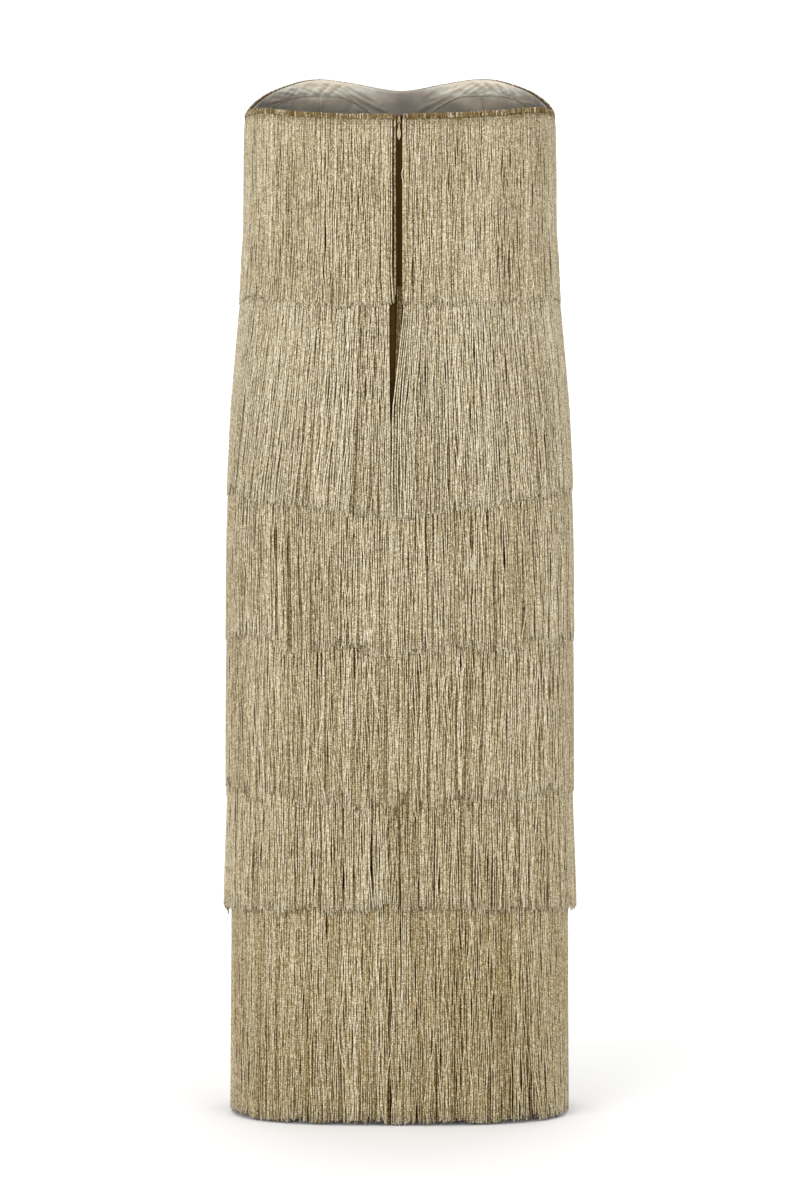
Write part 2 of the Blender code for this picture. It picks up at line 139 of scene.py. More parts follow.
# Creases that stand up from the upper lining, from one place to another
Crease = namedtuple("Crease", "turn height to_turn to_height width depth")
LINING_CREASES = (
    Crease(1.735, 0.0300, 1.925, 0.0100, 0.0018, 0.0013),
    Crease(1.790, 0.0330, 1.900, 0.0170, 0.0016, 0.0011),
    Crease(1.730, 0.0370, 1.840, 0.0245, 0.0014, 0.0012),
    Crease(1.270, 0.0130, 1.370, 0.0190, 0.0014, 0.0010),
    Crease(2.255, 0.0290, 2.085, 0.0105, 0.0020, 0.0012),
    Crease(2.300, 0.0350, 2.150, 0.0230, 0.0014, 0.0012),
    Crease(2.215, 0.0390, 2.120, 0.0275, 0.0012, 0.0009),
    Crease(2.640, 0.0150, 2.740, 0.0100, 0.0016, 0.0010),
)
SEAM_LAP = 0.0018
SEAM_STEP = 0.0008
SEAM_SPREAD = 0.0022
SEAM_THREAD = 0.00045
CREASE_CLEAR = 0.005
CUP_OUTER_TURN = 1.02
CUP_UPRIGHT_TURN = 1.585
CUP_INNER_TURN = 1.96
UPPER_LINING_TURN = 1.20
CENTRE_DIP = 0.0030
CENTRE_DIP_SPREAD = 0.07
GATHERS_TURN = 1.56
GATHERS_SPREAD = 0.20
SIDE_GATHERS_TURN = 1.30
SIDE_GATHERS_SPREAD = 0.12
SIDE_GATHERS_SHARE = 0.35
PUCKER_LEAN = 1.3
CROSSED_LEAN = 2.0
PUCKER_LIMIT = 2.6
HELD_AT_EDGE = 0.003
HELD_AT_SEAM = 0.004
CUP_GATHERS_BELOW = 0.012
UPRIGHT_SPREAD = 0.0025
ARCH_ENDS_IN = (0.04, 0.02)
# Grids of the lining's parts: the step across, the rows, and the power that packs the rows to an edge
UPPER_GRID = (0.0018, 19, 1.3)
CUP_GRID = (0.0030, 46, 0.8)
# The distance from the centre front over which the painted light on the lining grows.
SATIN_LIGHT_TO = 0.095
# A part of the lining: the turns that it spans, and which of its upright edges lap over the next part
LiningPart = namedtuple("LiningPart", "name start stop laps")
# Soft uneven fields of waves: their size, how many there are, and the ranges of their lengths both ways
Waves = namedtuple("Waves", "size count across tall")
CLOTH_CREASES = Waves(1.0, 14, (0.05, 0.16), (0.18, 0.60))
PUCKERS = Waves(1.0, 9, (0.020, 0.060), (0.025, 0.12))
CROSSED_PUCKERS = Waves(0.8, 9, (0.016, 0.045), (0.02, 0.08))
FINE_PUCKERS = Waves(0.4, 9, (0.008, 0.020), (0.008, 0.02))
CUP_FOLDS = Waves(1.0, 10, (0.04, 0.10), (0.04, 0.12))
CUP_GATHERS = Waves(1.0, 12, (0.008, 0.020), (0.02, 0.10))
CORD_ENDS = Waves(0.0012, 6, (0.03, 0.11), (5.0, 9.0))
CORD_DRIFT = Waves(0.00044, 22, (0.006, 0.020), (0.05, 0.20))
OWN_DRIFT = Waves(0.00038, 24, (0.003, 0.007), (0.03, 0.09))
LOOSE_DRIFT = Waves(0.0030, 12, (0.004, 0.02), (0.10, 0.40))

# Fringe
HEADER_TALL = 0.008
HEADER_CLEAR = 0.0006
HEADER_THICK = 0.0017
HEADER_BELOW_EDGE = 0.0005
HEADER_UNDER_CORDS = 0.0005
HEADER_COLUMNS = 280
HEADER_THREAD = 0.0016
LOOP_ABOVE_EDGE = 0.0014
LOOP_RAISED = 0.0010
LOOP_RAISED_TURN = 3.6
LOOP_RAISED_SPREAD = 0.3
LOOP_JITTER = 0.2
LOOP_SHARES = (0.0, 0.12, 0.5, 0.88, 1.0)
LOOP_WIDTHS = (0.5, 0.9, 1.0, 0.9, 0.5)
LOOP_RADIUS = 0.46
LOOP_TALL = 0.0058
LOOPS_FROM = 0.0032
LOOPS_TURN_IN = 0.0008
LOOP_UNEVEN = 0.0004
LOOP_LEAN = 0.0004
LOOP_ENDS_IN = 0.0004
LOOP_FORWARD = 0.00012
LOOP_TONES = 0.20
CORD_ROOT_BELOW = 0.0036
FIRST_OUT_BELOW = 0.012
FIRST_OUT_ABOVE_NEXT = 0.030
LAP_ABOVE = 0.010
LAP_UNDER_OUT = 0.0030
LAP_BELOW = 0.010
NEXT_ABOVE = 0.004
# Each tier's top at the back, side and front, its cords' length, how far they stand out where the tier above
# ends, where the next tier starts and at their own ends, their tone, and how ragged and how gathered they are
Tier = namedtuple("Tier", "name back side front length lap_out next_out end_out tone ragged gather")
TIERS = (
    Tier("fringe_tier_1", None, None, None, 0.200, 0.0033, 0.0045, 0.0048, 0.10, 1.0, 0.90),
    Tier("fringe_tier_2", -0.203, -0.170, -0.120, 0.245, 0.0040, 0.0050, 0.0050, -0.25, 1.5, 0.62),
    Tier("fringe_tier_3", -0.347, -0.327, -0.300, 0.245, 0.0042, 0.0048, 0.0050, 0.15, 2.6, 0.90),
    Tier("fringe_tier_4", -0.504, -0.490, -0.480, 0.245, 0.0042, 0.0046, 0.0048, 0.42, 3.0, 1.10),
    Tier("fringe_tier_5", -0.612, -0.616, -0.612, 0.245, 0.0038, 0.0066, 0.0074, 0.50, 1.3, 0.65),
    Tier("fringe_tier_6", -0.833, -0.833, -0.833, 0.246, 0.0026, 0.0028, 0.0032, 0.85, 0.8, 0.25),
)
# Groups of cords that lie aslant: the tier, the turn of their middle, their spread and how far their ends go
Slant = namedtuple("Slant", "tier turn spread shift")
SLANTS = (
    Slant(0, 0.75, 0.25, 0.0025),
    Slant(1, 0.60, 0.20, 0.0130),
    Slant(1, 0.22, 0.08, 0.0040),
    Slant(1, 3.45, 0.15, -0.0040),
    Slant(2, 0.55, 0.12, -0.0050),
    Slant(3, 3.60, 0.10, 0.0040),
    Slant(5, 3.36, 0.08, -0.0080),
    Slant(5, 3.62, 0.06, 0.0030),
)
OPEN_TIERS = 2
HEADER_SPLIT = (0.0073, -0.0047)
# The edges of the open tiers at the centre back, as places across the cloth from it
Split = namedtuple("Split", "tier height left right")
SPLITS = (
    Split(0, -0.226, 0.0052, -0.0032),
    Split(0, -0.190, 0.0078, -0.0058),
    Split(0, -0.035, 0.0073, -0.0047),
    Split(1, -0.450, 0.0086, 0.0078),
    Split(1, -0.336, 0.0090, 0.0074),
    Split(1, -0.235, 0.0104, -0.0046),
    Split(1, -0.205, 0.0104, -0.0056),
)
# Single cords in the opening: where they hang, how far they sway, where and over what height, how deep they
# lie, their tone and how much shorter they are than the tier's other cords
GapCord = namedtuple("GapCord", "tier across sway sway_height spread depth tone short")
# The low tones of the deeper cords in the opening are painted shade.
GAP_CORDS = (
    GapCord(0, 0.0040, 0.0005, -0.090, 0.030, 0.0020, 0.24, 0.012),
    GapCord(0, 0.0051, -0.0003, -0.150, 0.040, 0.0026, 0.22, 0.004),
    GapCord(0, -0.0046, 0.0016, -0.090, 0.004, 0.0008, 0.66, 0.008),
    GapCord(1, 0.0014, 0.0016, -0.300, 0.050, 0.0026, -0.12, 0.000),
    GapCord(1, -0.0006, 0.0022, -0.300, 0.050, 0.0024, -0.06, 0.000),
    GapCord(1, -0.0026, 0.0028, -0.300, 0.050, 0.0020, 0.04, 0.000),
)
LAST_TIER_MIDDLE = -0.950
HEM_ABOVE_CORDS = 0.008
# Layers of cords: their pitch, depth below the fringe's outer face, tone, points along a cord and its sides
Layer = namedtuple("Layer", "pitch depth tone steps sides")
LAYERS = (
    Layer(0.00185, 0.0009, 0.60, 20, 4),
    # The covered layer's low tone is painted shade in the slits between the outer cords.
    Layer(0.00190, 0.0018, 0.28, 14, 3),
    Layer(0.02100, 0.0002, 0.66, 24, 4),
)
COVERED_LAYER = 1
LOOSE_LAYER = 2
CORD_JITTER = 0.14
LOOSE_JITTER = 0.45
COVERED_CLOSED = 0.35
SIDES_LOOSER = 0.7
SIDE_TURN = 0.92
SIDE_SPREAD = 0.22
FREE_BELOW = 0.018
FULL_DRIFT_AT = 0.24
PULL_POWER = 1.3
SWAY_POWER = 1.5
SLANT_POWER = 1.8
LOCK_WIDTHS = (0.004, 0.012)
LOCK_PULL = (0.04, 0.34)
LOCK_SWAY = 0.0010
LOCK_RAGGED = 0.0016
LOCK_ROUNDING = 0.0004
LOCK_TONES = 0.040
CORD_RAGGED = 0.0010
TIER_RAGGED = 0.0004
STRAY_SHARE = 0.04
STRAY_SHORTER = (-0.005, 0.010)
HEM_ROOM = 0.0006
HEM_RAGGED = 0.0030
SPLIT_STILL = 0.004
SPLIT_REACH = 0.026
CORD_FORWARD = 0.00025
CORD_WIDTHS = (0.90, 1.08)
CORD_TONES = 0.080
TIP = 0.010
TIP_TONE = 0.12

# Studio: its floor and wall, and each light's place, aim, size and share of the key light's power
SWEEP_WIDE = 16.0
SWEEP_NEAR = 9.0
SWEEP_FAR = 5.5
SWEEP_HIGH = 7.0
SWEEP_BEND = 0.7
DRESS_MIDDLE = (0, 0, -0.5)
Light = namedtuple("Light", "name spot aim size share")
LIGHTS = (
    Light("key", (1.7, 2.9, 0.4), DRESS_MIDDLE, (2.2, 2.2), 1.0),
    Light("fill", (-1.9, 2.9, 0.0), DRESS_MIDDLE, (2.2, 2.2), 0.64),
    Light("top", (0.0, 0.6, 2.2), DRESS_MIDDLE, (2.6, 2.0), 0.38),
    Light("behind", (0.0, -1.8, 1.6), DRESS_MIDDLE, (3.4, 1.2), 0.50),
    Light("wall", (0.0, -3.1, 1.9), (0, -SWEEP_FAR, 0.2), (5.0, 1.0), 1.10),
)

# Grid of the under-dress's faces
TURN_STEP = 0.0125
HEIGHT_STEP = 0.005
CLOTH_STEP = 0.010
SMOOTH_HEIGHT = 0.012
SMOOTH_TURN = 0.035
ANGLES = 241


def smoothed(values, spread):
    """A row of values softened over a spread, in steps of the row, with its ends held."""
    reach = int(math.ceil(3 * spread))
    weights = np.exp(-0.5 * (np.arange(-reach, reach + 1) / spread) ** 2)
    padded = np.pad(values, reach, mode="edge")
    return np.convolve(padded, weights / weights.sum(), mode="valid")


def quarter_ring(half_width, depth, square, shares):
    """Points and outward normals of a quarter ring, at shares of its length from the centre to the side."""
    angles = np.linspace(0, math.pi / 2, ANGLES)
    x = half_width * np.sin(angles) ** (2 / square)
    y = depth * np.abs(np.cos(angles)) ** (2 / square)
    y[-1] = 0
    along = np.concatenate(([0], np.cumsum(np.hypot(np.diff(x), np.diff(y)))))
    x = np.interp(shares * along[-1], along, x)
    y = np.interp(shares * along[-1], along, y)
    slope_x = (x / half_width) ** (square - 1) / half_width
    slope_y = (y / depth) ** (square - 1) / depth
    size = np.hypot(slope_x, slope_y)
    return x, y, slope_x / size, slope_y / size


GRID_HEIGHTS = np.arange(HEM - 4 * HEIGHT_STEP, 0.070, HEIGHT_STEP)


def body_grid():
    """x, y and the normal's x and y of the under-dress's outer face, by turn and height."""
    rings = np.array(sorted(BODY))
    columns = [np.interp(GRID_HEIGHTS, rings[:, 0], rings[:, k]) for k in range(1, 5)]
    half_width, back, front, square = (smoothed(c, SMOOTH_HEIGHT / HEIGHT_STEP) for c in columns)
    per_quarter = int(round(1 / TURN_STEP))
    shares = np.linspace(0, 1, per_quarter + 1)
    grid = np.zeros((4 * per_quarter, len(GRID_HEIGHTS), 4))
    for row, height in enumerate(GRID_HEIGHTS):
        x, y, nx, ny = quarter_ring(half_width[row], back[row], square[row], shares)
        grid[: per_quarter + 1, row] = np.stack((x, y, nx, ny), 1)
        grid[3 * per_quarter :, row] = np.stack((-x, y, -nx, ny), 1)[per_quarter:0:-1]
        x, y, nx, ny = quarter_ring(half_width[row], front[row], square[row], shares)
        level = math.exp(-((height - BUST_HEIGHT) ** 2) / (2 * BUST_TALL**2))
        across = (x - BUST_X) / BUST_WIDTH
        out = BUST_OUT * level * np.exp(-across * across / 2)
        out = out * (1 - np.exp(-(((1 - shares) / BUST_FADE) ** 2)))
        slope = -out * across / BUST_WIDTH
        nx = nx - slope * ny
        size = np.hypot(nx, ny)
        nx, ny, y = nx / size, ny / size, y + out
        grid[per_quarter : 2 * per_quarter + 1, row] = np.stack((x, -y, nx, -ny), 1)[::-1]
        grid[2 * per_quarter : 3 * per_quarter + 1, row] = np.stack((-x, -y, -nx, -ny), 1)
    return grid


GRID = body_grid()


def edge_row():
    """The top edge's heights by turn, all round, softened."""
    steps = int(round(4 / TURN_STEP))
    at = np.arange(-steps // 4, steps + steps // 4) * TURN_STEP
    mirrored = np.minimum(at % 4, 4 - at % 4)
    table = np.array(TOP_EDGE)
    row = smoothed(np.interp(mirrored, table[:, 0], table[:, 1]), SMOOTH_TURN / TURN_STEP)
    return row[steps // 4 : steps // 4 + steps + 1]


EDGE = edge_row()


def mirrored(turn):
    turn = np.asarray(turn, float) % 4
    return np.minimum(turn, 4 - turn)


def top_edge(turn):
    at = (np.asarray(turn, float) % 4) / TURN_STEP
    return np.interp(at, np.arange(len(EDGE)), EDGE)


def cloth_at(turn, height):
    """x, y and the outward normal's x and y of the under-dress's outer face at places."""
    turn, height = np.broadcast_arrays(np.asarray(turn, float), np.asarray(height, float))
    across = (turn % 4) / TURN_STEP
    up = np.clip((height - GRID_HEIGHTS[0]) / HEIGHT_STEP, 0, len(GRID_HEIGHTS) - 1.001)
    c, r = np.floor(across).astype(int), np.floor(up).astype(int)
    u, v = (across - c)[..., None], (up - r)[..., None]
    c, after = c % len(GRID), (c + 1) % len(GRID)
    low = GRID[c, r] * (1 - u) + GRID[after, r] * u
    high = GRID[c, r + 1] * (1 - u) + GRID[after, r + 1] * u
    found = low * (1 - v) + high * v
    found[..., 2:] /= np.linalg.norm(found[..., 2:], axis=-1, keepdims=True)
    return found


def place(turn, height, out):
    """Points on the under-dress, moved out."""
    found = cloth_at(turn, height)
    height = np.broadcast_to(height, found.shape[:-1])
    x = found[..., 0] + out * found[..., 2]
    y = found[..., 1] + out * found[..., 3]
    return np.stack((x, y, height), -1)


def turns(width):
    """The turns that a width along the cloth takes up."""
    return width / QUARTER_LENGTH


def seam_edge(height):
    """Half the opening at the centre back, in turns."""
    return turns(np.interp(height, (ZIP_CLOSED_FROM, ZIP_PARTED_TO), (CLEAR / 2, ZIP_PARTED)))


def creased(creases, turn, height):
    """The depth of straight creases with soft ends at places on the cloth."""
    total = 0
    for crease in creases:
        start = np.array((crease.turn * QUARTER_LENGTH, crease.height))
        way = np.array((crease.to_turn * QUARTER_LENGTH, crease.to_height)) - start
        length = math.hypot(*way)
        across, up = turn * QUARTER_LENGTH - start[0], height - start[1]
        share = (across * way[0] + up * way[1]) / length**2
        aside = (across * way[1] - up * way[0]) / length
        beyond = np.maximum(np.abs(share - 0.5) - 0.5, 0) * length
        total = total + crease.depth * np.exp(-((aside**2 + beyond**2) / crease.width**2))
    return total


def bell(value, width):
    """1 at nought, falling away over a width on both sides."""
    return np.exp(-((value / width) ** 2))


def level_facing(normal):
    """Level directions as directions in space."""
    return np.concatenate((normal, np.zeros((*normal.shape[:-1], 1))), -1)


def eased(low, high, share):
    """A value between two others that starts and ends level."""
    return low + (high - low) * (1 - np.cos(math.pi * np.clip(share, 0, 1))) / 2


def header_top(tier, turn):
    """The height of a tier's header at places round the dress."""
    heights = TIERS[tier]
    if heights.back is None:
        return top_edge(turn) - HEADER_BELOW_EDGE
    at = mirrored(turn)
    behind = eased(heights.back, heights.side, at)
    before = eased(heights.side, heights.front, at - 1)
    return np.where(at < 1, behind, before)


def tier_end(tier, turn):
    return header_top(tier, turn) - TIERS[tier].length


def ripple(seed, waves, along, height):
    """A soft uneven field over the cloth: a sum of waves with lengths drawn from their ranges."""
    draw = np.random.default_rng(seed)
    total = 0
    for _ in range(waves.count):
        across = draw.uniform(*waves.across)
        tall = draw.uniform(*waves.tall) * draw.choice((-1, 1))
        total = total + np.sin(2 * math.pi * (along / across + height / tall + draw.uniform()))
    return waves.size * total * math.sqrt(2 / waves.count)


# Meshes


def mesh_from(name, points, faces, maps=(), tones=None):
    """A smooth mesh from points and arrays of faces, one array for each number of corners."""
    corners = np.concatenate([part.ravel() for part in faces])
    widths = np.concatenate([np.full(len(part), part.shape[1]) for part in faces])
    starts = np.concatenate(([0], np.cumsum(widths)[:-1]))
    mesh = bpy.data.meshes.new(name)
    mesh.vertices.add(len(points))
    mesh.vertices.foreach_set("co", np.asarray(points, np.float32).ravel())
    mesh.loops.add(len(corners))
    mesh.loops.foreach_set("vertex_index", corners.astype(np.int32))
    mesh.polygons.add(len(widths))
    mesh.polygons.foreach_set("loop_start", starts.astype(np.int32))
    mesh.polygons.foreach_set("use_smooth", np.ones(len(widths), bool))
    mesh.update(calc_edges=True)
    for map_name, corners in maps:
        layer = mesh.uv_layers.new(name=map_name)
        layer.uv.foreach_set("vector", np.asarray(corners, np.float32).ravel())
    if tones is not None:
        attribute = mesh.attributes.new("tone", "FLOAT", "POINT")
        attribute.data.foreach_set("value", np.asarray(tones, np.float32).ravel())
    mesh.validate()
    return mesh


def add_piece(mesh, finish, slot, body, *stands_for):
    """An object for a mesh that rides on a body and stands for nodes of the frame."""
    piece = bpy.data.objects.new(mesh.name, mesh)
    bpy.context.scene.collection.objects.link(piece)
    mesh.materials.append(finish)
    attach(piece, body)
    if stands_for:
        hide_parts(*stands_for)
    return piece


def cloth_mesh(name, turn, height, out, thick):
    """A thin wall of cloth with closed edges, from grids of places: the first axis up, the second along."""
    turn, height = np.broadcast_arrays(turn, height)
    outer = place(turn, height, out)
    inner = place(turn, height, out - thick)
    rows, columns = turn.shape
    points = np.concatenate((outer.reshape(-1, 3), inner.reshape(-1, 3)))
    index = np.arange(rows * columns).reshape(rows, columns)
    back = index + rows * columns
    front_faces = (index[:-1, :-1], index[:-1, 1:], index[1:, 1:], index[1:, :-1])
    back_faces = (back[:-1, :-1], back[1:, :-1], back[1:, 1:], back[:-1, 1:])
    low = (index[0, 1:], index[0, :-1], back[0, :-1], back[0, 1:])
    high = (index[-1, :-1], index[-1, 1:], back[-1, 1:], back[-1, :-1])
    left = (index[:-1, 0], index[1:, 0], back[1:, 0], back[:-1, 0])
    right = (index[1:, -1], index[:-1, -1], back[:-1, -1], back[1:, -1])
    sides = (front_faces, back_faces, low, high, left, right)
    quads = np.concatenate([np.stack([k.ravel() for k in side], 1) for side in sides])
    along = (turn * QUARTER_LENGTH).ravel()
    flat = np.stack((np.tile(along, 2), np.tile(height.ravel(), 2)), 1)
    return mesh_from(name, points, [quads], maps=[("Weave", flat[quads].reshape(-1, 2))])


def cord_parts(path, radius, facing, tones, sides):
    """Arrays for cords of a few sides along paths, closed at both ends: points, walls, ends, twist and tones.

    The axes of path are cords, steps and coordinates.
    """
    cords, steps, _ = path.shape
    along = np.gradient(path, axis=1)
    along /= np.linalg.norm(along, axis=2, keepdims=True)
    first = facing - (facing * along).sum(2, keepdims=True) * along
    first /= np.linalg.norm(first, axis=2, keepdims=True)
    second = np.cross(along, first)
    corner = np.arange(sides) * 2 * math.pi / sides + math.pi / 4
    ring = (
        np.cos(corner)[None, None, :, None] * first[:, :, None]
        + np.sin(corner)[None, None, :, None] * second[:, :, None]
    )
    points = (path[:, :, None] + radius[:, :, None, None] * ring).reshape(-1, 3)
    index = np.arange(cords * steps * sides).reshape(cords, steps, sides)
    turned = np.roll(index, -1, axis=2)
    walls = np.stack((index[:, :-1], turned[:, :-1], turned[:, 1:], index[:, 1:]), -1).reshape(-1, 4)
    ends = np.concatenate((index[:, 0, ::-1], index[:, -1]))
    length = np.linalg.norm(np.diff(path, axis=1), axis=2)
    length = np.concatenate((np.zeros((cords, 1)), np.cumsum(length, axis=1)), axis=1)
    left = np.broadcast_to(np.arange(sides) / sides, (cords, steps - 1, sides))
    right = left + 1 / sides
    high = np.broadcast_to(length[:, :-1, None], left.shape)
    low = np.broadcast_to(length[:, 1:, None], left.shape)
    twist = np.stack((left, high, right, high, right, low, left, low), -1).reshape(-1, 2)
    cap = np.zeros((2 * cords * sides, 2))
    cap[cords * sides :, 1] = np.repeat(length[:, -1], sides)
    return points, walls, ends, twist, cap, np.repeat(tones.ravel(), sides)


def cord_mesh(name, groups):
    """One mesh of several groups of cords, each given as the arguments of cord_parts."""
    parts = [cord_parts(*group) for group in groups]
    before = np.cumsum([0] + [len(part[0]) for part in parts])
    walls = np.concatenate([part[1] + start for part, start in zip(parts, before)])
    ends = [part[2] + start for part, start in zip(parts, before)]
    maps = [("Twist", np.concatenate([part[3] for part in parts] + [part[4] for part in parts]))]
    points = np.concatenate([part[0] for part in parts])
    return mesh_from(name, points, [walls, *ends], maps=maps, tones=np.concatenate([p[5] for p in parts]))


# Finishes


def new_material(name, rough, metal, sheen=0.0, anisotropic=0.0, specular=0.5):
    """A material with its constant values on the shader's own sockets."""
    made = bpy.data.materials.new(name)
    made.use_nodes = True
    shader = made.node_tree.nodes["Principled BSDF"]
    shader.inputs["Roughness"].default_value = rough
    shader.inputs["Metallic"].default_value = metal
    shader.inputs["Sheen Weight"].default_value = sheen
    shader.inputs["Anisotropic"].default_value = anisotropic
    shader.inputs["Specular IOR Level"].default_value = specular
    return made, made.node_tree, shader


def math_node(tree, operation, first, second):
    """A math node's result. Each value is a number or an output."""
    node = tree.nodes.new("ShaderNodeMath")
    node.operation = operation
    for socket, value in zip(node.inputs, (first, second)):
        if isinstance(value, (int, float)):
            socket.default_value = value
        else:
            tree.links.new(value, socket)
    return node.outputs["Value"]


def object_place(tree, stretch):
    """The piece's own coordinates, multiplied along each axis."""
    source = tree.nodes.new("ShaderNodeTexCoord")
    scaled = tree.nodes.new("ShaderNodeVectorMath")
    scaled.operation = "MULTIPLY"
    scaled.inputs[1].default_value = stretch
    tree.links.new(source.outputs["Object"], scaled.inputs[0])
    return scaled.outputs["Vector"]


def map_parts(tree, name):
    """The two coordinates of a named map."""
    source = tree.nodes.new("ShaderNodeUVMap")
    source.uv_map = name
    split = tree.nodes.new("ShaderNodeSeparateXYZ")
    tree.links.new(source.outputs["UV"], split.inputs["Vector"])
    return split.outputs["X"], split.outputs["Y"]


def noise(tree, stretch, detail):
    """Soft noise over the piece, its scale multiplied along each axis."""
    node = tree.nodes.new("ShaderNodeTexNoise")
    node.inputs["Scale"].default_value = 1.0
    node.inputs["Detail"].default_value = detail
    tree.links.new(object_place(tree, stretch), node.inputs["Vector"])
    return node.outputs["Fac"]


def colour_by(tree, shader, factor, *stops):
    """Colours the surface by a ramp from stops of a place and a colour."""
    node = tree.nodes.new("ShaderNodeValToRGB")
    while len(node.color_ramp.elements) < len(stops):
        node.color_ramp.elements.new(0.5)
    for element, (at, colour) in zip(node.color_ramp.elements, stops):
        element.position = at
        element.color = (*colour[:3], 1)
    tree.links.new(factor, node.inputs["Fac"])
    tree.links.new(node.outputs["Color"], shader.inputs["Base Color"])


def bump(tree, shader, height, distance, strength=1.0):
    """Relief from a height."""
    node = tree.nodes.new("ShaderNodeBump")
    node.inputs["Distance"].default_value = distance
    node.inputs["Strength"].default_value = strength
    tree.links.new(height, node.inputs["Height"])
    tree.links.new(node.outputs["Normal"], shader.inputs["Normal"])


def shade(colour, factor):
    return tuple(min(1.0, max(0.0, value * factor)) for value in colour[:3])


def mixed(first, second, share):
    return tuple(a + (b - a) * share for a, b in zip(first[:3], second[:3]))


def cell_noise(tree, stretch):
    """A value at random for each small cell of the surface."""
    node = tree.nodes.new("ShaderNodeTexVoronoi")
    node.inputs["Scale"].default_value = 1.0
    tree.links.new(object_place(tree, stretch), node.inputs["Vector"])
    split = tree.nodes.new("ShaderNodeSeparateColor")
    tree.links.new(node.outputs["Color"], split.inputs["Color"])
    return split.outputs["Red"]


def weighted(tree, middle, *parts):
    """The sum of values about their middles, each with its weight, about a middle."""
    total = middle
    for value, centre, weight in parts:
        part = math_node(tree, "MULTIPLY", math_node(tree, "SUBTRACT", value, centre), weight)
        total = math_node(tree, "ADD", part, total)
    return total


def cord_finish(name, colour, twist_length):
    """Twisted metallic cord: a tone for each cord, painted glints along it, and the twist as relief and as
    painted light and shade along its plies.
    """
    made, tree, shader = new_material(name, rough=0.50, metal=0.35, sheen=0.05, specular=0.15)
    tone = tree.nodes.new("ShaderNodeAttribute")
    tone.attribute_name = "tone"
    glint = cell_noise(tree, (820, 820, 560))
    fine = noise(tree, (1100, 1100, 700), 1.0)
    cloud = noise(tree, (16, 16, 7), 3.0)
    around, along = map_parts(tree, "Twist")
    lay = math_node(tree, "ADD", around, math_node(tree, "MULTIPLY", along, 1 / twist_length))
    twist = math_node(tree, "PINGPONG", lay, 0.5)
    value = weighted(
        tree,
        0.5,
        (glint, 0.5, 0.54),
        (fine, 0.5, 0.36),
        (tone.outputs["Fac"], 0.5, 0.80),
        (cloud, 0.5, 0.30),
        (twist, 0.25, 0.30),
    )
    # The darkest stops, which the low tones of covered cords and of deep cords in the opening reach, are
    # painted shade.
    brown = mixed(colour, (0.158, 0.084, 0.010), 0.91)
    colour_by(
        tree,
        shader,
        value,
        (0.05, shade(brown, 0.60)),
        (0.30, mixed(brown, colour, 0.45)),
        (0.55, colour),
        # The lightest stops, mixed with cream, are painted highlights.
        (0.78, shade(mixed(colour, (1.0, 0.97, 0.84), 0.22), 1.16)),
        (1.00, shade(mixed(colour, (1.0, 0.97, 0.86), 0.42), 1.14)),
    )
    height = weighted(tree, 0.0, (twist, 0.0, 1.0), (glint, 0.0, 0.5))
    bump(tree, shader, height, 0.0005)
    return made


def weave_finish(name, colour, thread, rough, sheen=0.0, specular=0.05):
    """Plain woven cloth with threads both ways."""
    made, tree, shader = new_material(name, rough=rough, metal=0.0, sheen=sheen, specular=specular)
    along, up = map_parts(tree, "Weave")
    threads = []
    for part in (along, up):
        wave = math_node(tree, "SINE", math_node(tree, "MULTIPLY", part, 2 * math.pi / thread), 0.0)
        threads.append(wave)
    weave = math_node(tree, "MULTIPLY", threads[0], threads[1])
    slub = noise(tree, (60, 60, 420), 3.0)
    value = math_node(tree, "ADD", math_node(tree, "MULTIPLY", weave, 0.12), slub)
    colour_by(tree, shader, value, (0.25, shade(colour, 0.70)), (0.55, colour), (0.80, shade(colour, 1.25)))
    bump(tree, shader, weave, thread / 4, 0.6)
    return made


def satin_finish(name, colour):
    """Satin lining with a soft sheen, lighter towards its top edge and away from the centre front: painted
    light and shade of the hollow front.
    """
    made, tree, shader = new_material(name, rough=0.42, metal=0.0, sheen=0.2, anisotropic=0.4, specular=0.4)
    cloud = noise(tree, (55, 55, 80), 3.0)
    floats = noise(tree, (1800, 1800, 160), 1.0)
    along, up = map_parts(tree, "Weave")
    aside = math_node(tree, "ABSOLUTE", math_node(tree, "SUBTRACT", along, 2 * QUARTER_LENGTH), 0.0)
    aside = math_node(tree, "MINIMUM", aside, SATIN_LIGHT_TO)
    # Height and distance from the centre front paint shade low and in the middle of the hollow, and light
    # towards the top edge.
    value = weighted(
        tree,
        0.5,
        (cloud, 0.5, 0.40),
        (floats, 0.5, 0.10),
        (up, 0.0255, 22.0),
        (aside, 0.060, 2.2),
    )
    cool = mixed(colour, (0.36, 0.39, 0.38), 0.30)
    warm = mixed(colour, (0.42, 0.31, 0.22), 0.30)
    # Shaded and lit copies of the lining colour: the darker stops are painted shade and the lighter stops
    # painted light, mixed with random clouds.
    colour_by(
        tree,
        shader,
        value,
        (0.16, shade(colour, 0.42)),
        (0.30, shade(colour, 0.60)),
        (0.42, shade(warm, 0.78)),
        (0.52, colour),
        (0.64, shade(cool, 1.45)),
        (0.80, shade(mixed(colour, (0.62, 0.55, 0.42), 0.5), 1.35)),
    )
    bump(tree, shader, floats, 0.0002, 0.35)
    return made


def smooth_finish(material, wear, relief, *stops):
    """A smooth material coloured by fine wear, with a little relief."""
    made, tree, shader = material
    fine = noise(tree, *wear)
    colour_by(tree, shader, fine, *stops)
    bump(tree, shader, fine, 0.00005, relief)
    return made


def metal_finish(name, colour, rough=0.28):
    """Polished zip metal with fine wear."""
    stops = (0.30, shade(colour, 0.72)), (0.60, colour), (0.85, shade(colour, 1.15))
    return smooth_finish(new_material(name, rough, metal=1.0), ((900, 900, 900), 4.0), 0.4, *stops)


def enamel_finish(name, colour):
    """Smooth coated pull."""
    material = new_material(name, rough=0.32, metal=0.0, specular=0.6)
    return smooth_finish(material, ((500, 500, 300), 3.0), 0.3, (0.25, shade(colour, 0.88)), (0.60, colour))


# Pieces


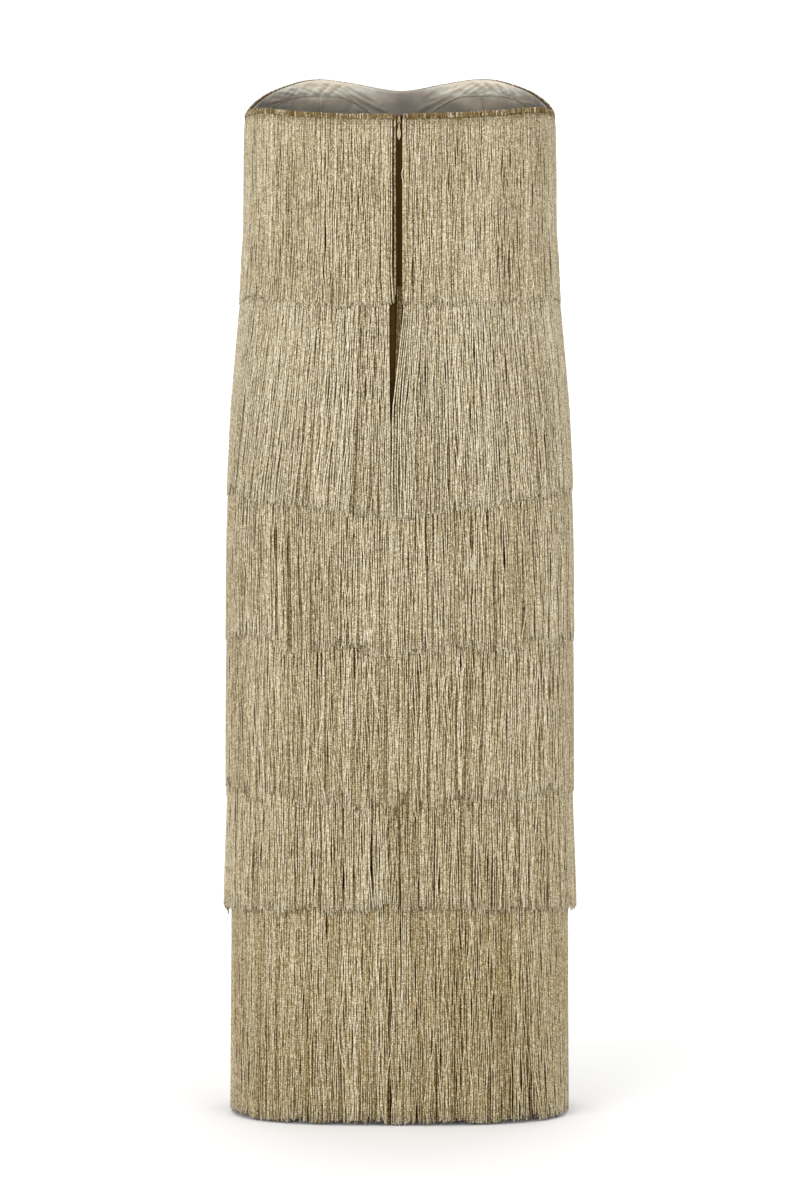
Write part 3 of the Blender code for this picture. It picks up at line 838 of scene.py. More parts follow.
def build_under_dress(settings):
    finish = weave_finish("satin_back_crepe", settings.cloth_colour, CREPE_THREAD, rough=0.55)
    half = turns(CLEAR / 2)
    panels = (
        ("front_under_dress", "front_shell", 1 + half, 3 - half, (0.47, 1.13)),
        ("back_left_under_dress", "back_left_shell", None, 1 - half, (0.235, 1.08)),
        ("back_right_under_dress", "back_right_shell", 3 + half, None, (0.235, 1.08)),
    )
    for name, node, start, stop, flat in panels:
        columns, rows = (int(round(size / CLOTH_STEP)) + 1 for size in flat)
        share = np.linspace(0, 1, rows)[:, None]
        nominal = np.linspace(start or 0.0, stop or 4.0, columns)[None]
        height = HEM + HEM_ABOVE_CORDS + share * (top_edge(nominal) - HEM - HEM_ABOVE_CORDS)
        first = seam_edge(height) if start is None else start
        last = 4 - seam_edge(height) if stop is None else stop
        across = np.linspace(0, 1, columns)[None]
        turn = first + across * (last - first)
        crease = ripple(11, CLOTH_CREASES, turn * QUARTER_LENGTH, height)
        drop = np.clip((top_edge(turn) - height) / CREASES_FULL_BELOW, 0, 1)
        drop = drop * np.clip((height - HEM) / CREASES_FADE_AT_HEM, CREASES_LEFT_AT_HEM, 1)
        edge = np.minimum(across, 1 - across) * flat[0] - TAPE_WIDTH
        if node == "front_shell":
            drop = drop * np.clip((CUP_BOTTOM - CREASE_CLEAR - height) / CREASES_FADE_AT_CUPS, 0, 1)
        out = -settings.crease * np.clip(crease + CREASES_RAISED, 0, None) * drop
        out = out * np.clip(edge / CREASES_FADE_AT_EDGE, 0, 1)
        mesh = cloth_mesh(name, turn, height, out, WALL)
        piece = add_piece(mesh, finish, "shell", "dress", node)


def cup_seam(turn):
    """The height of the seam above the cups."""
    table = np.array(CUP_SEAM)
    return np.interp(mirrored(turn), table[:, 0], table[:, 1])


def lining_top(turn):
    return top_edge(turn) - HEADER_BELOW_EDGE


def upper_low(turn):
    return cup_seam(turn) - SEAM_LAP


def cup_top(turn):
    return np.where(mirrored(turn) < UPPER_LINING_TURN, lining_top(turn), cup_seam(turn) - 2 * CLEAR)


def cup_bottom(turn):
    return np.full_like(turn, CUP_BOTTOM)


def upper_lining_depth(turn, height, share, pucker):
    """How far the upper lining's gathers, creases and lower seam stand in from its plain face."""
    along, at, aside = turn * QUARTER_LENGTH, mirrored(turn), np.sign(turn - 2)
    up, down = height - upper_low(turn), lining_top(turn) - height
    over_bust = np.exp(-(((at - GATHERS_TURN) / GATHERS_SPREAD) ** 4))
    over_bust = over_bust + SIDE_GATHERS_SHARE * bell(at - SIDE_GATHERS_TURN, SIDE_GATHERS_SPREAD)
    fold = np.abs(ripple(23, PUCKERS, along + aside * PUCKER_LEAN * up, height))
    fold = fold + np.abs(ripple(24, CROSSED_PUCKERS, along - aside * CROSSED_LEAN * up, height))
    fold = fold + np.abs(ripple(27, FINE_PUCKERS, along, height))
    hold = np.clip(down / HELD_AT_EDGE, 0.15, 1) * np.clip(up / HELD_AT_SEAM, 0.1, 1)
    depth = pucker * np.clip(fold, 0, PUCKER_LIMIT) * hold * over_bust
    depth = depth + creased(LINING_CREASES, turn, height) * hold
    return depth + CENTRE_DIP * bell(turn - 2, CENTRE_DIP_SPREAD) * share + SEAM_STEP * bell(up, SEAM_SPREAD)


def cup_depth(part, turn, height, pucker):
    """How far a cup part's soft folds and lapped edges stand in from its plain face."""
    along, down = turn * QUARTER_LENGTH, cup_top(turn) - height
    fold = 0.7 * np.clip(ripple(25, CUP_FOLDS, along, height), 0, 2)
    gather = 0.3 * bell(down, CUP_GATHERS_BELOW) * ripple(26, CUP_GATHERS, along, height)
    depth = pucker * (fold + gather) * np.clip(down / HELD_AT_SEAM, 0, 1)
    for lapped, edge in zip(part.laps, (turn - part.start, part.stop - turn)):
        depth = depth + lapped * SEAM_STEP * bell(edge * QUARTER_LENGTH, UPRIGHT_SPREAD)
    return depth


def build_lining(settings):
    finish = satin_finish("satin_lining", settings.lining_colour)
    half, lap = turns(CLEAR / 2), turns(SEAM_LAP)
    first, upright, last = CUP_OUTER_TURN, CUP_UPRIGHT_TURN, CUP_INNER_TURN
    parts = (
        LiningPart("lining_cup_left_outer", first, upright - half, (0, 0)),
        LiningPart("lining_cup_left_inner", upright - lap, last, (1, 0)),
        LiningPart("lining_centre", last - lap, 4 - last + lap, (1, 1)),
        LiningPart("lining_cup_right_inner", 4 - last, 4 - upright + lap, (0, 1)),
        LiningPart("lining_cup_right_outer", 4 - upright + half, 4 - first, (0, 0)),
        LiningPart("lining_upper", UPPER_LINING_TURN, 4 - UPPER_LINING_TURN, (0, 0)),
    )
    for part in parts:
        upper = part.name == "lining_upper"
        low, high = (upper_low, lining_top) if upper else (cup_bottom, cup_top)
        step, rows, power = UPPER_GRID if upper else CUP_GRID
        width = (part.stop - part.start) * QUARTER_LENGTH
        columns = max(7, int(round(width / step)) + 1)
        turn = np.broadcast_to(np.linspace(part.start, part.stop, columns)[None], (rows, columns))
        share = np.broadcast_to(np.linspace(0, 1, rows)[:, None] ** power, (rows, columns))
        height = low(turn) + share * (high(turn) - low(turn))
        if upper:
            depth = upper_lining_depth(turn, height, share, settings.pucker)
        else:
            depth = cup_depth(part, turn, height, settings.pucker)
        mesh = cloth_mesh(part.name + "_satin", turn, height, LINING_OUT - depth, LINING_THICK)
        piece = add_piece(mesh, finish, "lining", "dress", part.name)
    build_lining_seams(settings)


def build_lining_seams(settings):
    """The threads along the seam above the cups and the upright seams."""
    inside = LINING_OUT - LINING_THICK
    steps = 90
    arch = np.linspace(UPPER_LINING_TURN + ARCH_ENDS_IN[0], CUP_INNER_TURN - ARCH_ENDS_IN[1], steps)
    lines = [(turn, cup_seam(turn) - SEAM_LAP / 3, inside - SEAM_STEP) for turn in (arch, 4 - arch)]
    share = np.linspace(0, 1, steps)
    for turn, leans, low, high in (
        (CUP_UPRIGHT_TURN, 0.012, cup_bottom, cup_seam),
        (4 - CUP_UPRIGHT_TURN, -0.006, cup_bottom, lining_top),
        (1.43, 0.014, cup_seam, lining_top),
        (2.62, -0.006, cup_seam, lining_top),
    ):
        turn = turn + leans * (1 - share)
        lines.append((turn, low(turn) + share * (high(turn) - low(turn)), inside))
    path = np.stack([place(turn, height, out) for turn, height, out in lines])
    found = np.stack([cloth_at(turn, height) for turn, height, _ in lines])
    radius, tones = (np.full(path.shape[:2], value) for value in (SEAM_THREAD, 0.5))
    mesh = cord_mesh("lining_seams", [(path, radius, level_facing(-found[..., 2:]), tones, 6)])
    seam_colour = mixed(settings.lining_colour, (0.26, 0.19, 0.11), 0.7)
    add_piece(mesh, cord_finish("seam_thread", seam_colour, 0.004), "lining", "dress", "lining_upper")


def section_outs(tier, turn, heights):
    """How far the outer face of a tier's cords stands out, at heights down one cord."""
    root = header_top(tier, turn) - CORD_ROOT_BELOW
    sections = [(root, HEADER_CLEAR + HEADER_THICK), (tier_end(tier, turn), TIERS[tier].end_out)]
    if tier == 0:
        sections.append((root - FIRST_OUT_BELOW, TIERS[0].lap_out))
        sections.append((header_top(1, turn) + FIRST_OUT_ABOVE_NEXT, TIERS[0].lap_out))
    else:
        covered = tier_end(tier - 1, turn)
        sections.append((covered + LAP_ABOVE, LAP_UNDER_OUT))
        sections.append((covered - LAP_BELOW, TIERS[tier].lap_out))
    middle = header_top(tier + 1, turn) + NEXT_ABOVE if tier < len(TIERS) - 1 else LAST_TIER_MIDDLE
    sections.append((middle, TIERS[tier].next_out))
    sections = sorted((float(h), o) for h, o in sections)
    return np.interp(heights, [s[0] for s in sections], [s[1] for s in sections])


def hang(turn, height, out):
    """Paths of cords that fall plumb below the furthest cloth above, and the level directions they face."""
    found = cloth_at(turn, height)
    normal = found[..., 2:]
    steps = turn.shape[1]
    reach = np.einsum("cjk,cik->cji", normal, found[..., :2])
    above = np.tril(np.ones((steps, steps), bool))
    furthest = np.where(above, reach, -1).max(axis=2)
    own = np.einsum("cjk,cjk->cj", normal, found[..., :2])
    flat = found[..., :2] + (furthest - own + out)[..., None] * normal
    return np.concatenate((flat, height[..., None]), -1), normal


def gathered(draw, along):
    """Each cord's lock, its place from the lock's middle, the lock's half width, and the number of locks."""
    edges = [-LOCK_WIDTHS[1]]
    while edges[-1] < RING_LENGTH + LOCK_WIDTHS[1]:
        edges.append(edges[-1] + draw.uniform(*LOCK_WIDTHS))
    edges = np.array(edges)
    lock = np.searchsorted(edges, along) - 1
    middle = (edges[lock] + edges[lock + 1]) / 2
    return lock, along - middle, (edges[lock + 1] - edges[lock]) / 2, len(edges)


def split_edges(tier, height):
    """Where an open tier's cords begin to the left and to the right of the centre back, down the dress."""
    rows = np.array([(split.height, split.left, split.right) for split in SPLITS if split.tier == tier])
    return np.interp(height, rows[:, 0], rows[:, 1]), np.interp(height, rows[:, 0], rows[:, 2])


def layer_of_cords(tier, layer, settings):
    """Paths, radii, directions, tones and sides for one layer of a tier's cords."""
    draw = np.random.default_rng(100 * tier + layer + 7)
    pitch, depth, tone, steps, sides = LAYERS[layer]
    loose = layer == LOOSE_LAYER
    count = int(round(RING_LENGTH / (pitch * settings.cord_pitch / LAYERS[0].pitch)))
    jitter = LOOSE_JITTER if loose else CORD_JITTER
    along = (np.arange(count) + 0.5 + draw.uniform(-jitter, jitter, count)) * RING_LENGTH / count
    if tier < OPEN_TIERS:
        left, right = HEADER_SPLIT
        along = left + along * (RING_LENGTH + right - left) / RING_LENGTH
    root = header_top(tier, turns(along)) - CORD_ROOT_BELOW
    lock, from_middle, half, locks = gathered(draw, along)
    ragged = TIERS[tier].ragged
    lock_end = np.random.default_rng(tier).normal(0, LOCK_RAGGED, locks)[lock]
    end = tier_end(tier, turns(along)) + ragged * (ripple(40 + tier, CORD_ENDS, along, 0.0) + lock_end)
    end += draw.normal(0, CORD_RAGGED + TIER_RAGGED * ragged, count) + TIER_RAGGED
    end += (draw.random(count) < STRAY_SHARE) * draw.uniform(*STRAY_SHORTER, count)
    end = np.maximum(end, HEM + HEM_ROOM + HEM_RAGGED * draw.random(count))
    share = np.linspace(0, 1, steps)[None]
    height = root[:, None] + share * (end - root)[:, None]
    down = share * TIERS[tier].length / FULL_DRIFT_AT
    closed = COVERED_CLOSED if layer == COVERED_LAYER else 1.0
    pull = draw.uniform(*LOCK_PULL, locks)[lock] * TIERS[tier].gather * closed
    drift = -from_middle[:, None] * pull[:, None] * down**PULL_POWER
    drift = drift + draw.normal(0, LOCK_SWAY, locks)[lock][:, None] * down**SWAY_POWER
    across = along[:, None]
    free = 1 - np.exp(-(root[:, None] - height) / FREE_BELOW)
    free = free * (1 + SIDES_LOOSER * bell(mirrored(turns(across)) - SIDE_TURN, SIDE_SPREAD))
    own = 80 + 10 * tier + layer
    waves = ripple(60 + tier, CORD_DRIFT, across, height) + ripple(own, OWN_DRIFT, across, height)
    drift = drift + closed * free * waves
    if loose:
        drift = drift + ripple(own + 5, LOOSE_DRIFT, across, height) * down
    for slant in SLANTS:
        if slant.tier == tier:
            near = np.exp(-0.5 * ((turns(across) - slant.turn) / slant.spread) ** 2)
            drift = drift + slant.shift * near * down**SLANT_POWER
    if tier < OPEN_TIERS:
        lefthand = across < RING_LENGTH / 2
        left_edge, right_edge = split_edges(tier, height)
        inward = np.where(lefthand, across - left, RING_LENGTH + right - across)
        shift = np.where(lefthand, left_edge - left, right_edge - right)
        drift = drift * (1 - np.exp(-inward / SPLIT_STILL)) + shift * np.exp(-inward / SPLIT_REACH)
    out = np.array([section_outs(tier, float(t), h) for t, h in zip(turns(along), height)])
    rounding = LOCK_ROUNDING * (1 - np.clip(np.abs(from_middle) / half, 0, 1) ** 2)
    forward = draw.normal(0, CORD_FORWARD, count) + rounding
    radius = settings.cord_width / 2 * draw.uniform(*CORD_WIDTHS, count)
    centre_out = np.maximum(out - depth + forward[:, None] * down, HEADER_CLEAR + radius[:, None])
    path, normal = hang(turns(across + drift), height, centre_out)
    radius = np.broadcast_to(radius[:, None], height.shape)
    tones = tone + draw.normal(0, CORD_TONES, count) + draw.normal(0, LOCK_TONES, locks)[lock]
    # Each cord is lighter at its tip and darker at its root; the darkening at the root is painted shade under
    # the header.
    tones = tones[:, None] + TIP_TONE * np.clip(1 - (height - end[:, None]) / TIP, 0, 1)
    tones = np.clip(tones - TIP_TONE * np.clip(1 - (root[:, None] - height) / TIP, 0, 1), 0, 1)
    return path, radius, level_facing(normal), tones, sides


def cords_in_opening(tier, settings):
    """The single cords that hang in a tier's opening at the centre back."""
    rows = np.array([cord[1:] for cord in GAP_CORDS if cord.tier == tier])
    across, sway, sway_height, spread, depth, tone, short = rows.T[..., None]
    root = float(header_top(tier, 0)) - CORD_ROOT_BELOW
    end = float(tier_end(tier, 0)) + short
    height = root + np.linspace(0, 1, 60) * (end - root)
    out = np.maximum(section_outs(tier, 0.0, height) - depth, HEADER_CLEAR + settings.cord_width / 2)
    turn = turns(across + sway * bell(height - sway_height, spread)) % 4
    path, normal = hang(turn, height, out)
    radius = np.full(height.shape, settings.cord_width / 2)
    return path, radius, level_facing(normal), tone + 0 * height, 4


def header_loops(settings):
    """The short loops of cord that cover the first tier's header."""
    left, right = LOOPS_FROM, HEADER_SPLIT[1]
    count = int(round(RING_LENGTH / settings.cord_pitch))
    draw = np.random.default_rng(3)
    spot = np.arange(count) + 0.5 + draw.uniform(-LOOP_JITTER, LOOP_JITTER, count)
    along = left + spot * (RING_LENGTH + right - left) / count
    turned_in = LOOPS_TURN_IN * (along < HEADER_SPLIT[0])[:, None]
    share = np.array(LOOP_SHARES)[None]
    raised = LOOP_RAISED * bell(turns(along) - LOOP_RAISED_TURN, LOOP_RAISED_SPREAD)
    top = (top_edge(turns(along)) + LOOP_ABOVE_EDGE + raised)[:, None]
    height = top - share * (LOOP_TALL + draw.normal(0, LOOP_UNEVEN, count)[:, None])
    lean = draw.normal(0, LOOP_LEAN, count)[:, None]
    turn = turns(along[:, None] + lean * (share - 0.5)) + 0 * share
    out = HEADER_CLEAR + HEADER_THICK - LOOP_ENDS_IN * (1 - np.sin(math.pi * share))
    out = out + draw.normal(0, LOOP_FORWARD, count)[:, None] - turned_in
    path = place(turn, height, out)
    facing = level_facing(cloth_at(turn, height)[..., 2:])
    radius = np.broadcast_to(settings.cord_pitch * LOOP_RADIUS * np.array(LOOP_WIDTHS), turn.shape)
    tones = np.clip(draw.normal(0.5, LOOP_TONES, count), 0, 1)[:, None] + 0 * share
    return path, radius, facing, tones, 6


def build_fringe(settings):
    for tier, sizes in enumerate(TIERS):
        colour = mixed(settings.top_colour, settings.hem_colour, sizes.tone)
        finish = cord_finish(sizes.name + "_cord", colour, settings.twist_length)
        groups = [layer_of_cords(tier, layer, settings) for layer in range(len(LAYERS))]
        if tier < OPEN_TIERS:
            groups.append(cords_in_opening(tier, settings))
        mesh = cord_mesh(sizes.name + "_cords", groups)
        add_piece(mesh, finish, "fringe", "dress", sizes.name)
        build_header(tier, settings)
    loops = cord_mesh("fringe_tier_1_loops", [header_loops(settings)])
    finish = cord_finish("header_loop", settings.loop_colour, settings.twist_length)
    add_piece(loops, finish, "fringe", "dress", TIERS[0].name)


def build_header(tier, settings):
    """The woven tape that a tier's cords hang from."""
    sizes = TIERS[tier]
    finish = weave_finish(sizes.name + "_tape", shade(settings.loop_colour, 0.7), HEADER_THREAD, rough=0.6)
    left, right = HEADER_SPLIT if tier < OPEN_TIERS else (0.0, 0.0)
    turn = np.linspace(turns(left), 4 + turns(right), HEADER_COLUMNS)[None]
    height = header_top(tier, turn) - HEADER_TALL * np.linspace(1, 0, 3)[:, None]
    out = HEADER_CLEAR + HEADER_THICK - HEADER_UNDER_CORDS
    mesh = cloth_mesh(sizes.name + "_header", turn, height, out, out - HEADER_CLEAR)
    piece = add_piece(mesh, finish, "fringe", "dress", sizes.name)


def build_zip(settings):
    tape = weave_finish("zip_tape_weave", settings.tape_colour, TAPE_THREAD, rough=0.8)
    out = -WALL - CLEAR
    for name, right in (("zip_tape_left", False), ("zip_tape_right", True)):
        share = np.linspace(0, 1, 64)[:, None]
        top = float(top_edge(0)) - HEADER_BELOW_EDGE
        height = ZIP_END + share * (top - ZIP_END)
        across = np.linspace(0, 1, 9)[None]
        turn = seam_edge(height) + across * (turns(TAPE_WIDTH) - seam_edge(height))
        turn = 4 - turn[:, ::-1] if right else turn
        mesh = cloth_mesh(name + "_weave", turn, height, out, TAPE_THICK)
        piece = add_piece(mesh, tape, "zip_tape", "dress", name)
    build_coil(settings)
    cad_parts["zip_slider"].data.materials[0] = metal_finish("slider_brass", settings.metal_colour)
    build_pull(settings)


def build_pull(settings):
    """The zip's pull: a ring of wire with a domed drop below it."""
    low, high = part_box("zip_pull")
    middle = (Vector(low) + Vector(high)) / 2
    half_width = (high[0] - low[0]) / 2
    wire = (high[1] - low[1]) / 2
    steps = 40
    share = np.linspace(0, 1, steps)
    angle = 2 * math.pi * share
    sine, cosine = (np.sign(wave) * np.abs(wave) ** PULL_RING_BEND for wave in (np.sin(angle), np.cos(angle)))
    ring_x = middle.x + (half_width - wire) * sine
    ring_z = high[2] - PULL_RING_TALL / 2 + (PULL_RING_TALL / 2 - wire) * cosine
    ring = np.stack((ring_x, np.full(steps, middle.y), ring_z), 1)
    drop_top = high[2] - PULL_RING_TALL + wire
    drop_z = drop_top + share * (low[2] - drop_top)
    drop = np.stack((np.full(steps, middle.x), np.full(steps, middle.y), drop_z), 1)
    belly = half_width * np.sin(math.pi * np.clip(share, 0.0, 0.995) ** 1.5) ** 0.8
    widths = np.maximum(belly, PULL_NECK * (1 - share))
    drop, ring, widths = drop[None], ring[None], widths[None]
    facing = np.zeros_like(drop)
    facing[..., 1] = 1.0
    plain = np.full((1, steps), 0.5)
    mesh = cord_mesh("zip_pull_ring", [(ring, np.full((1, steps), wire), facing, plain, 10)])
    metal = metal_finish("pull_ring", shade(settings.metal_colour, 0.45))
    add_piece(mesh, metal, "zip_pull", "pull", "zip_pull")
    mesh = cord_mesh("zip_pull_drop", [(drop, widths, facing, plain, 16)])
    points = np.zeros(3 * len(mesh.vertices), np.float32)
    mesh.vertices.foreach_get("co", points)
    points = points.reshape(-1, 3)
    points[:, 1] = middle.y + (points[:, 1] - middle.y) * wire / half_width
    mesh.vertices.foreach_set("co", points.ravel())
    mesh.update()
    add_piece(mesh, enamel_finish("pull_enamel", settings.pull_colour), "zip_pull", "pull", "zip_pull")


def build_coil(settings):
    """The zip's two rows of teeth, which lock along the centre back."""
    finish = metal_finish("coil", shade(settings.metal_colour, 0.22), rough=0.5)
    heights = np.arange(ZIP_END + COIL_ABOVE_END, SLIDER_LOW - COIL_BELOW_SLIDER, COIL_PITCH)
    angle = np.linspace(-COIL_BEND, COIL_BEND, 9)[None]
    path = []
    for side in (-1, 1):
        level = heights[:, None] + (COIL_PITCH / 2 if side > 0 else 0) + COIL_CLIMB * angle
        centre = cloth_at(np.zeros_like(level), level)
        x = side * (COIL_MIDDLE - COIL_REACH * np.cos(angle)) + 0 * level
        y = centre[..., 1] - WALL - CLEAR - TAPE_THICK - CLEAR - COIL_INSIDE + COIL_DEEP * np.sin(angle)
        path.append(np.stack((x, y, level), -1))
    path = np.concatenate(path)
    facing = np.zeros_like(path)
    facing[..., 2] = 1.0
    radius = np.full(path.shape[:2], COIL_WIRE)
    mesh = cord_mesh("zip_coil", [(path, radius, facing, np.full(path.shape[:2], 0.5), 3)])
    add_piece(mesh, finish, "zip_chain", "dress", "zip_chain")


def build_sweep(settings):
    """A pale floor that bends up into a wall."""
    made, tree, shader = new_material("pale_sweep", rough=0.9, metal=0.0, specular=0.1)
    grain = noise(tree, (3, 3, 3), 2.0)
    floor = settings.floor_colour
    colour_by(tree, shader, grain, (0.3, shade(floor, 0.985)), (0.7, floor))
    arc = np.linspace(0, math.pi / 2, 16)
    bend_y = -SWEEP_FAR + SWEEP_BEND - SWEEP_BEND * np.sin(arc)
    y = np.concatenate(([SWEEP_NEAR, 0.0], bend_y, [-SWEEP_FAR]))
    z = np.concatenate(([0.0, 0.0], SWEEP_BEND - SWEEP_BEND * np.cos(arc), [SWEEP_HIGH])) + HEM
    points = [(x, b, c) for b, c in zip(y, z) for x in (-SWEEP_WIDE / 2, SWEEP_WIDE / 2)]
    quads = [(2 * k, 2 * k + 2, 2 * k + 3, 2 * k + 1) for k in range(len(y) - 1)]
    mesh = mesh_from("studio_sweep", np.array(points), [np.array(quads)])
    sweep = bpy.data.objects.new("studio_sweep", mesh)
    bpy.context.scene.collection.objects.link(sweep)
    mesh.materials.append(made)


def aimed(spot, aim):
    """The rotation of a light or camera at a spot that looks at another."""
    return (Vector(aim) - Vector(spot)).to_track_quat("-Z", "Y").to_euler()


def build_lights(settings):
    for light in LIGHTS:
        lamp = bpy.data.lights.new(light.name, "AREA")
        lamp.shape = "RECTANGLE"
        lamp.size, lamp.size_y = light.size
        lamp.energy = settings.key_power * light.share
        holder = bpy.data.objects.new(light.name, lamp)
        holder.location = light.spot
        holder.rotation_euler = aimed(light.spot, light.aim)
        bpy.context.scene.collection.objects.link(holder)


def build_surround(settings):
    """The white light from all round, and plain colours in the picture."""
    scene = bpy.context.scene
    world = scene.world or bpy.data.worlds.new("studio")
    scene.world = world
    world.use_nodes = True
    background = world.node_tree.nodes["Background"]
    background.inputs["Color"].default_value = (1.0, 1.0, 1.0, 1)
    background.inputs["Strength"].default_value = settings.surround
    scene.view_settings.view_transform = "Standard"
    scene.view_settings.look = "None"


def build_camera(settings):
    """The photograph's camera."""
    lens = bpy.data.cameras.new("photo_camera")
    lens.sensor_fit = "AUTO"
    lens.sensor_width = 36.0
    lens.lens = settings.lens
    lens.clip_end = 50
    camera = bpy.data.objects.new("photo_camera", lens)
    yaw, distance, height = settings.camera_turn, settings.camera_distance, settings.camera_height
    camera.location = (-distance * math.sin(yaw), distance * math.cos(yaw), height)
    camera.rotation_euler = aimed(camera.location, (0, 0, height))
    bpy.context.scene.collection.objects.link(camera)
    bpy.context.scene.camera = camera


# Settings, operators and panel


COLOUR = {"subtype": "COLOR", "size": 3, "min": 0, "max": 1}
LENGTH = {"subtype": "DISTANCE", "unit": "LENGTH"}


class DressClothSettings(bpy.types.PropertyGroup):
    """Sizes and colours of the under-dress and its lining."""

    # The under-dress's very dark brown partly paints the shade seen in the opening at the centre back.
    cloth_colour: bpy.props.FloatVectorProperty(
        name="Cloth colour", description="Colour of the under-dress", default=(0.050, 0.026, 0.004), **COLOUR
    )
    lining_colour: bpy.props.FloatVectorProperty(
        name="Lining colour",
        description="Colour of the satin lining and cups",
        default=(0.345, 0.310, 0.250),
        **COLOUR,
    )
    crease: bpy.props.FloatProperty(
        name="Crease depth",
        description="Depth of the soft creases in the under-dress",
        default=0.0016,
        **LENGTH,
    )
    pucker: bpy.props.FloatProperty(
        name="Pucker depth",
        description="Depth of the gathers in the lining above the cups",
        default=0.0011,
        **LENGTH,
    )


class DressFringeSettings(bpy.types.PropertyGroup):
    """Sizes and colours of the fringe."""

    top_colour: bpy.props.FloatVectorProperty(
        name="Upper cord colour",
        description="Colour of the cords at the top of the dress",
        default=(0.482, 0.404, 0.250),
        **COLOUR,
    )
    hem_colour: bpy.props.FloatVectorProperty(
        name="Lower cord colour",
        description="Colour of the cords at the hem",
        default=(0.400, 0.310, 0.154),
        **COLOUR,
    )
    loop_colour: bpy.props.FloatVectorProperty(
        name="Header colour",
        description="Colour of the loops of cord over the top header",
        default=(0.218, 0.152, 0.054),
        **COLOUR,
    )
    cord_width: bpy.props.FloatProperty(
        name="Cord width", description="Width of one cord", default=0.0017, **LENGTH
    )
    cord_pitch: bpy.props.FloatProperty(
        name="Cord pitch",
        description="Distance between the outer cords along the header",
        default=0.00185,
        **LENGTH,
    )
    twist_length: bpy.props.FloatProperty(
        name="Twist length", description="Length of one turn of a cord's twist", default=0.0026, **LENGTH
    )


class DressZipSettings(bpy.types.PropertyGroup):
    """Colours of the zip."""

    tape_colour: bpy.props.FloatVectorProperty(
        name="Tape colour", description="Colour of the zip's tapes", default=(0.030, 0.016, 0.004), **COLOUR
    )
    metal_colour: bpy.props.FloatVectorProperty(
        name="Metal colour",
        description="Colour of the slider and, darker, of the teeth",
        default=(0.62, 0.48, 0.27),
        **COLOUR,
    )
    pull_colour: bpy.props.FloatVectorProperty(
        name="Pull colour", description="Colour of the zip's pull", default=(0.36, 0.28, 0.15), **COLOUR
    )


class DressStudioSettings(bpy.types.PropertyGroup):
    """The studio's floor, lights and camera."""

    floor_colour: bpy.props.FloatVectorProperty(
        name="Floor colour", description="Colour of the floor and wall", default=(0.97, 0.97, 0.97), **COLOUR
    )
    key_power: bpy.props.FloatProperty(
        name="Key light",
        description="Power of the brightest light, in watts",
        unit="POWER",
        default=62.0,
    )
    surround: bpy.props.FloatProperty(
        name="Surrounding light", description="Strength of the light from all round", default=0.55
    )
    lens: bpy.props.FloatProperty(name="Lens", description="Focal length in millimetres", default=90.5)
    camera_distance: bpy.props.FloatProperty(
        name="Camera distance",
        description="Distance of the camera from the dress's axis",
        default=3.26,
        **LENGTH,
    )
    camera_height: bpy.props.FloatProperty(
        name="Camera height",
        description="Height of the camera, from the underarm level",
        default=-0.535,
        **LENGTH,
    )
    camera_turn: bpy.props.FloatProperty(
        name="Camera turn",
        description="Angle of the camera from straight behind",
        subtype="ANGLE",
        unit="ROTATION",
        default=math.radians(0.6),
    )


class OBJECT_OT_dress_cloth(bpy.types.Operator):
    """Makes the three panels of the under-dress"""

    bl_idname = "object.dress_cloth"
    bl_label = "Under-dress"

    def execute(self, context):
        build_under_dress(context.scene.dress_cloth)
        return {"FINISHED"}


class OBJECT_OT_dress_lining(bpy.types.Operator):
    """Makes the satin lining of the front with its two cups"""

    bl_idname = "object.dress_lining"
    bl_label = "Lining and cups"

    def execute(self, context):
        build_lining(context.scene.dress_cloth)
        return {"FINISHED"}


class OBJECT_OT_dress_zip(bpy.types.Operator):
    """Makes the zip's tapes and teeth and finishes its slider and pull"""

    bl_idname = "object.dress_zip"
    bl_label = "Zip"

    def execute(self, context):
        build_zip(context.scene.dress_zip)
        return {"FINISHED"}


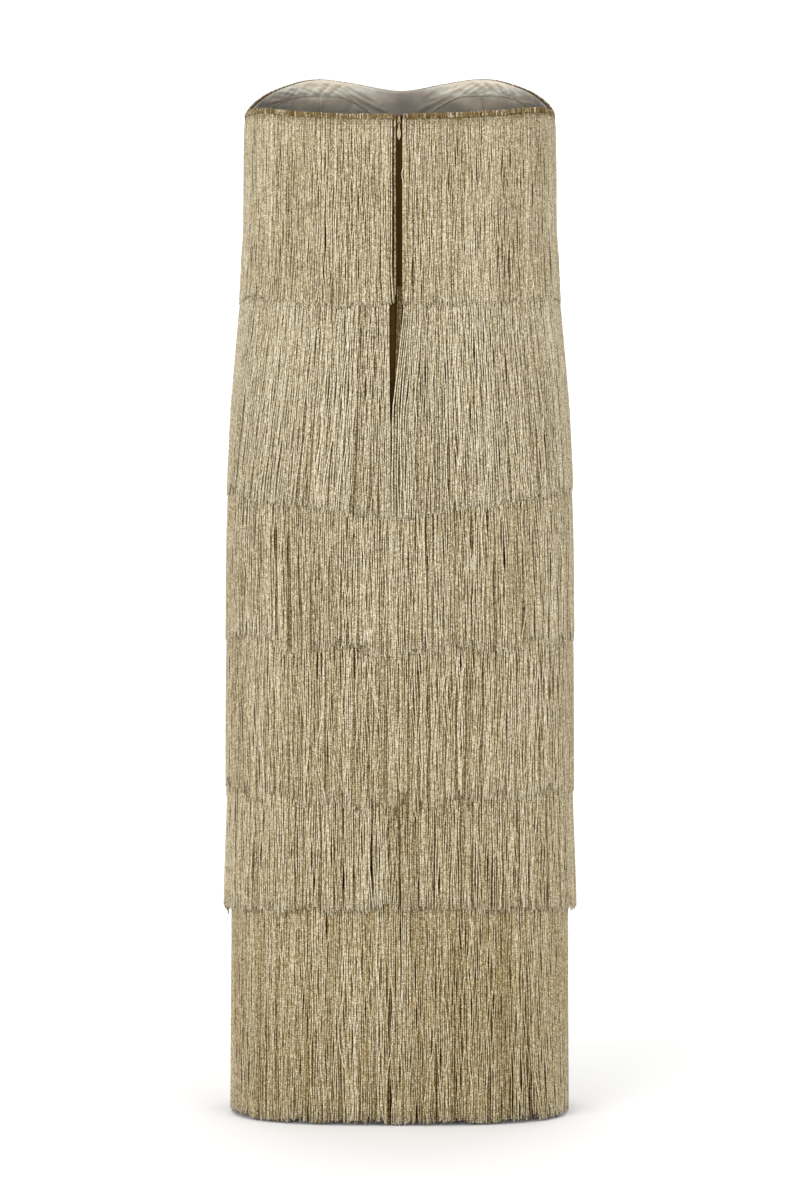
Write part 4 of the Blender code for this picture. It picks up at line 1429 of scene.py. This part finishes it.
class OBJECT_OT_dress_fringe(bpy.types.Operator):
    """Makes the six tiers of cords with their header tapes"""

    bl_idname = "object.dress_fringe"
    bl_label = "Fringe"

    def execute(self, context):
        build_fringe(context.scene.dress_fringe)
        return {"FINISHED"}


class OBJECT_OT_dress_studio(bpy.types.Operator):
    """Makes the floor, the lights and the camera"""

    bl_idname = "object.dress_studio"
    bl_label = "Studio"

    def execute(self, context):
        for build in (build_sweep, build_lights, build_surround, build_camera):
            build(context.scene.dress_studio)
        return {"FINISHED"}


STEPS = (
    (OBJECT_OT_dress_cloth, "dress_cloth"),
    (OBJECT_OT_dress_lining, "dress_cloth"),
    (OBJECT_OT_dress_zip, "dress_zip"),
    (OBJECT_OT_dress_fringe, "dress_fringe"),
    (OBJECT_OT_dress_studio, "dress_studio"),
)


class VIEW3D_PT_dress(bpy.types.Panel):
    """Lists the dress's sizes and colours with the step that uses them"""

    bl_label = "Fringed maxi dress"
    bl_idname = "VIEW3D_PT_dress"
    bl_space_type = "VIEW_3D"
    bl_region_type = "UI"
    bl_category = "Dress"

    def draw(self, context):
        shown = None
        for operator, settings in STEPS:
            if settings != shown:
                group = getattr(context.scene, settings)
                for key in group.__annotations__:
                    self.layout.prop(group, key)
                shown = settings
            self.layout.operator(operator.bl_idname)


SETTINGS = {
    "dress_cloth": DressClothSettings,
    "dress_fringe": DressFringeSettings,
    "dress_zip": DressZipSettings,
    "dress_studio": DressStudioSettings,
}
CLASSES = (*SETTINGS.values(), *(operator for operator, _ in STEPS), VIEW3D_PT_dress)


def register():
    for cls in CLASSES:
        bpy.utils.register_class(cls)
    for name, group in SETTINGS.items():
        setattr(bpy.types.Scene, name, bpy.props.PointerProperty(type=group))


def unregister():
    for name in SETTINGS:
        delattr(bpy.types.Scene, name)
    for cls in reversed(CLASSES):
        bpy.utils.unregister_class(cls)


def corners(box):
    return [[round(float(value), 6) for value in corner] for corner in box]


def main():
    register()
    bpy.ops.object.dress_cloth()
    bpy.ops.object.dress_lining()
    bpy.ops.object.dress_zip()
    bpy.ops.object.dress_fringe()
    bpy.ops.object.dress_studio()


if __name__ == "__main__":
    main()
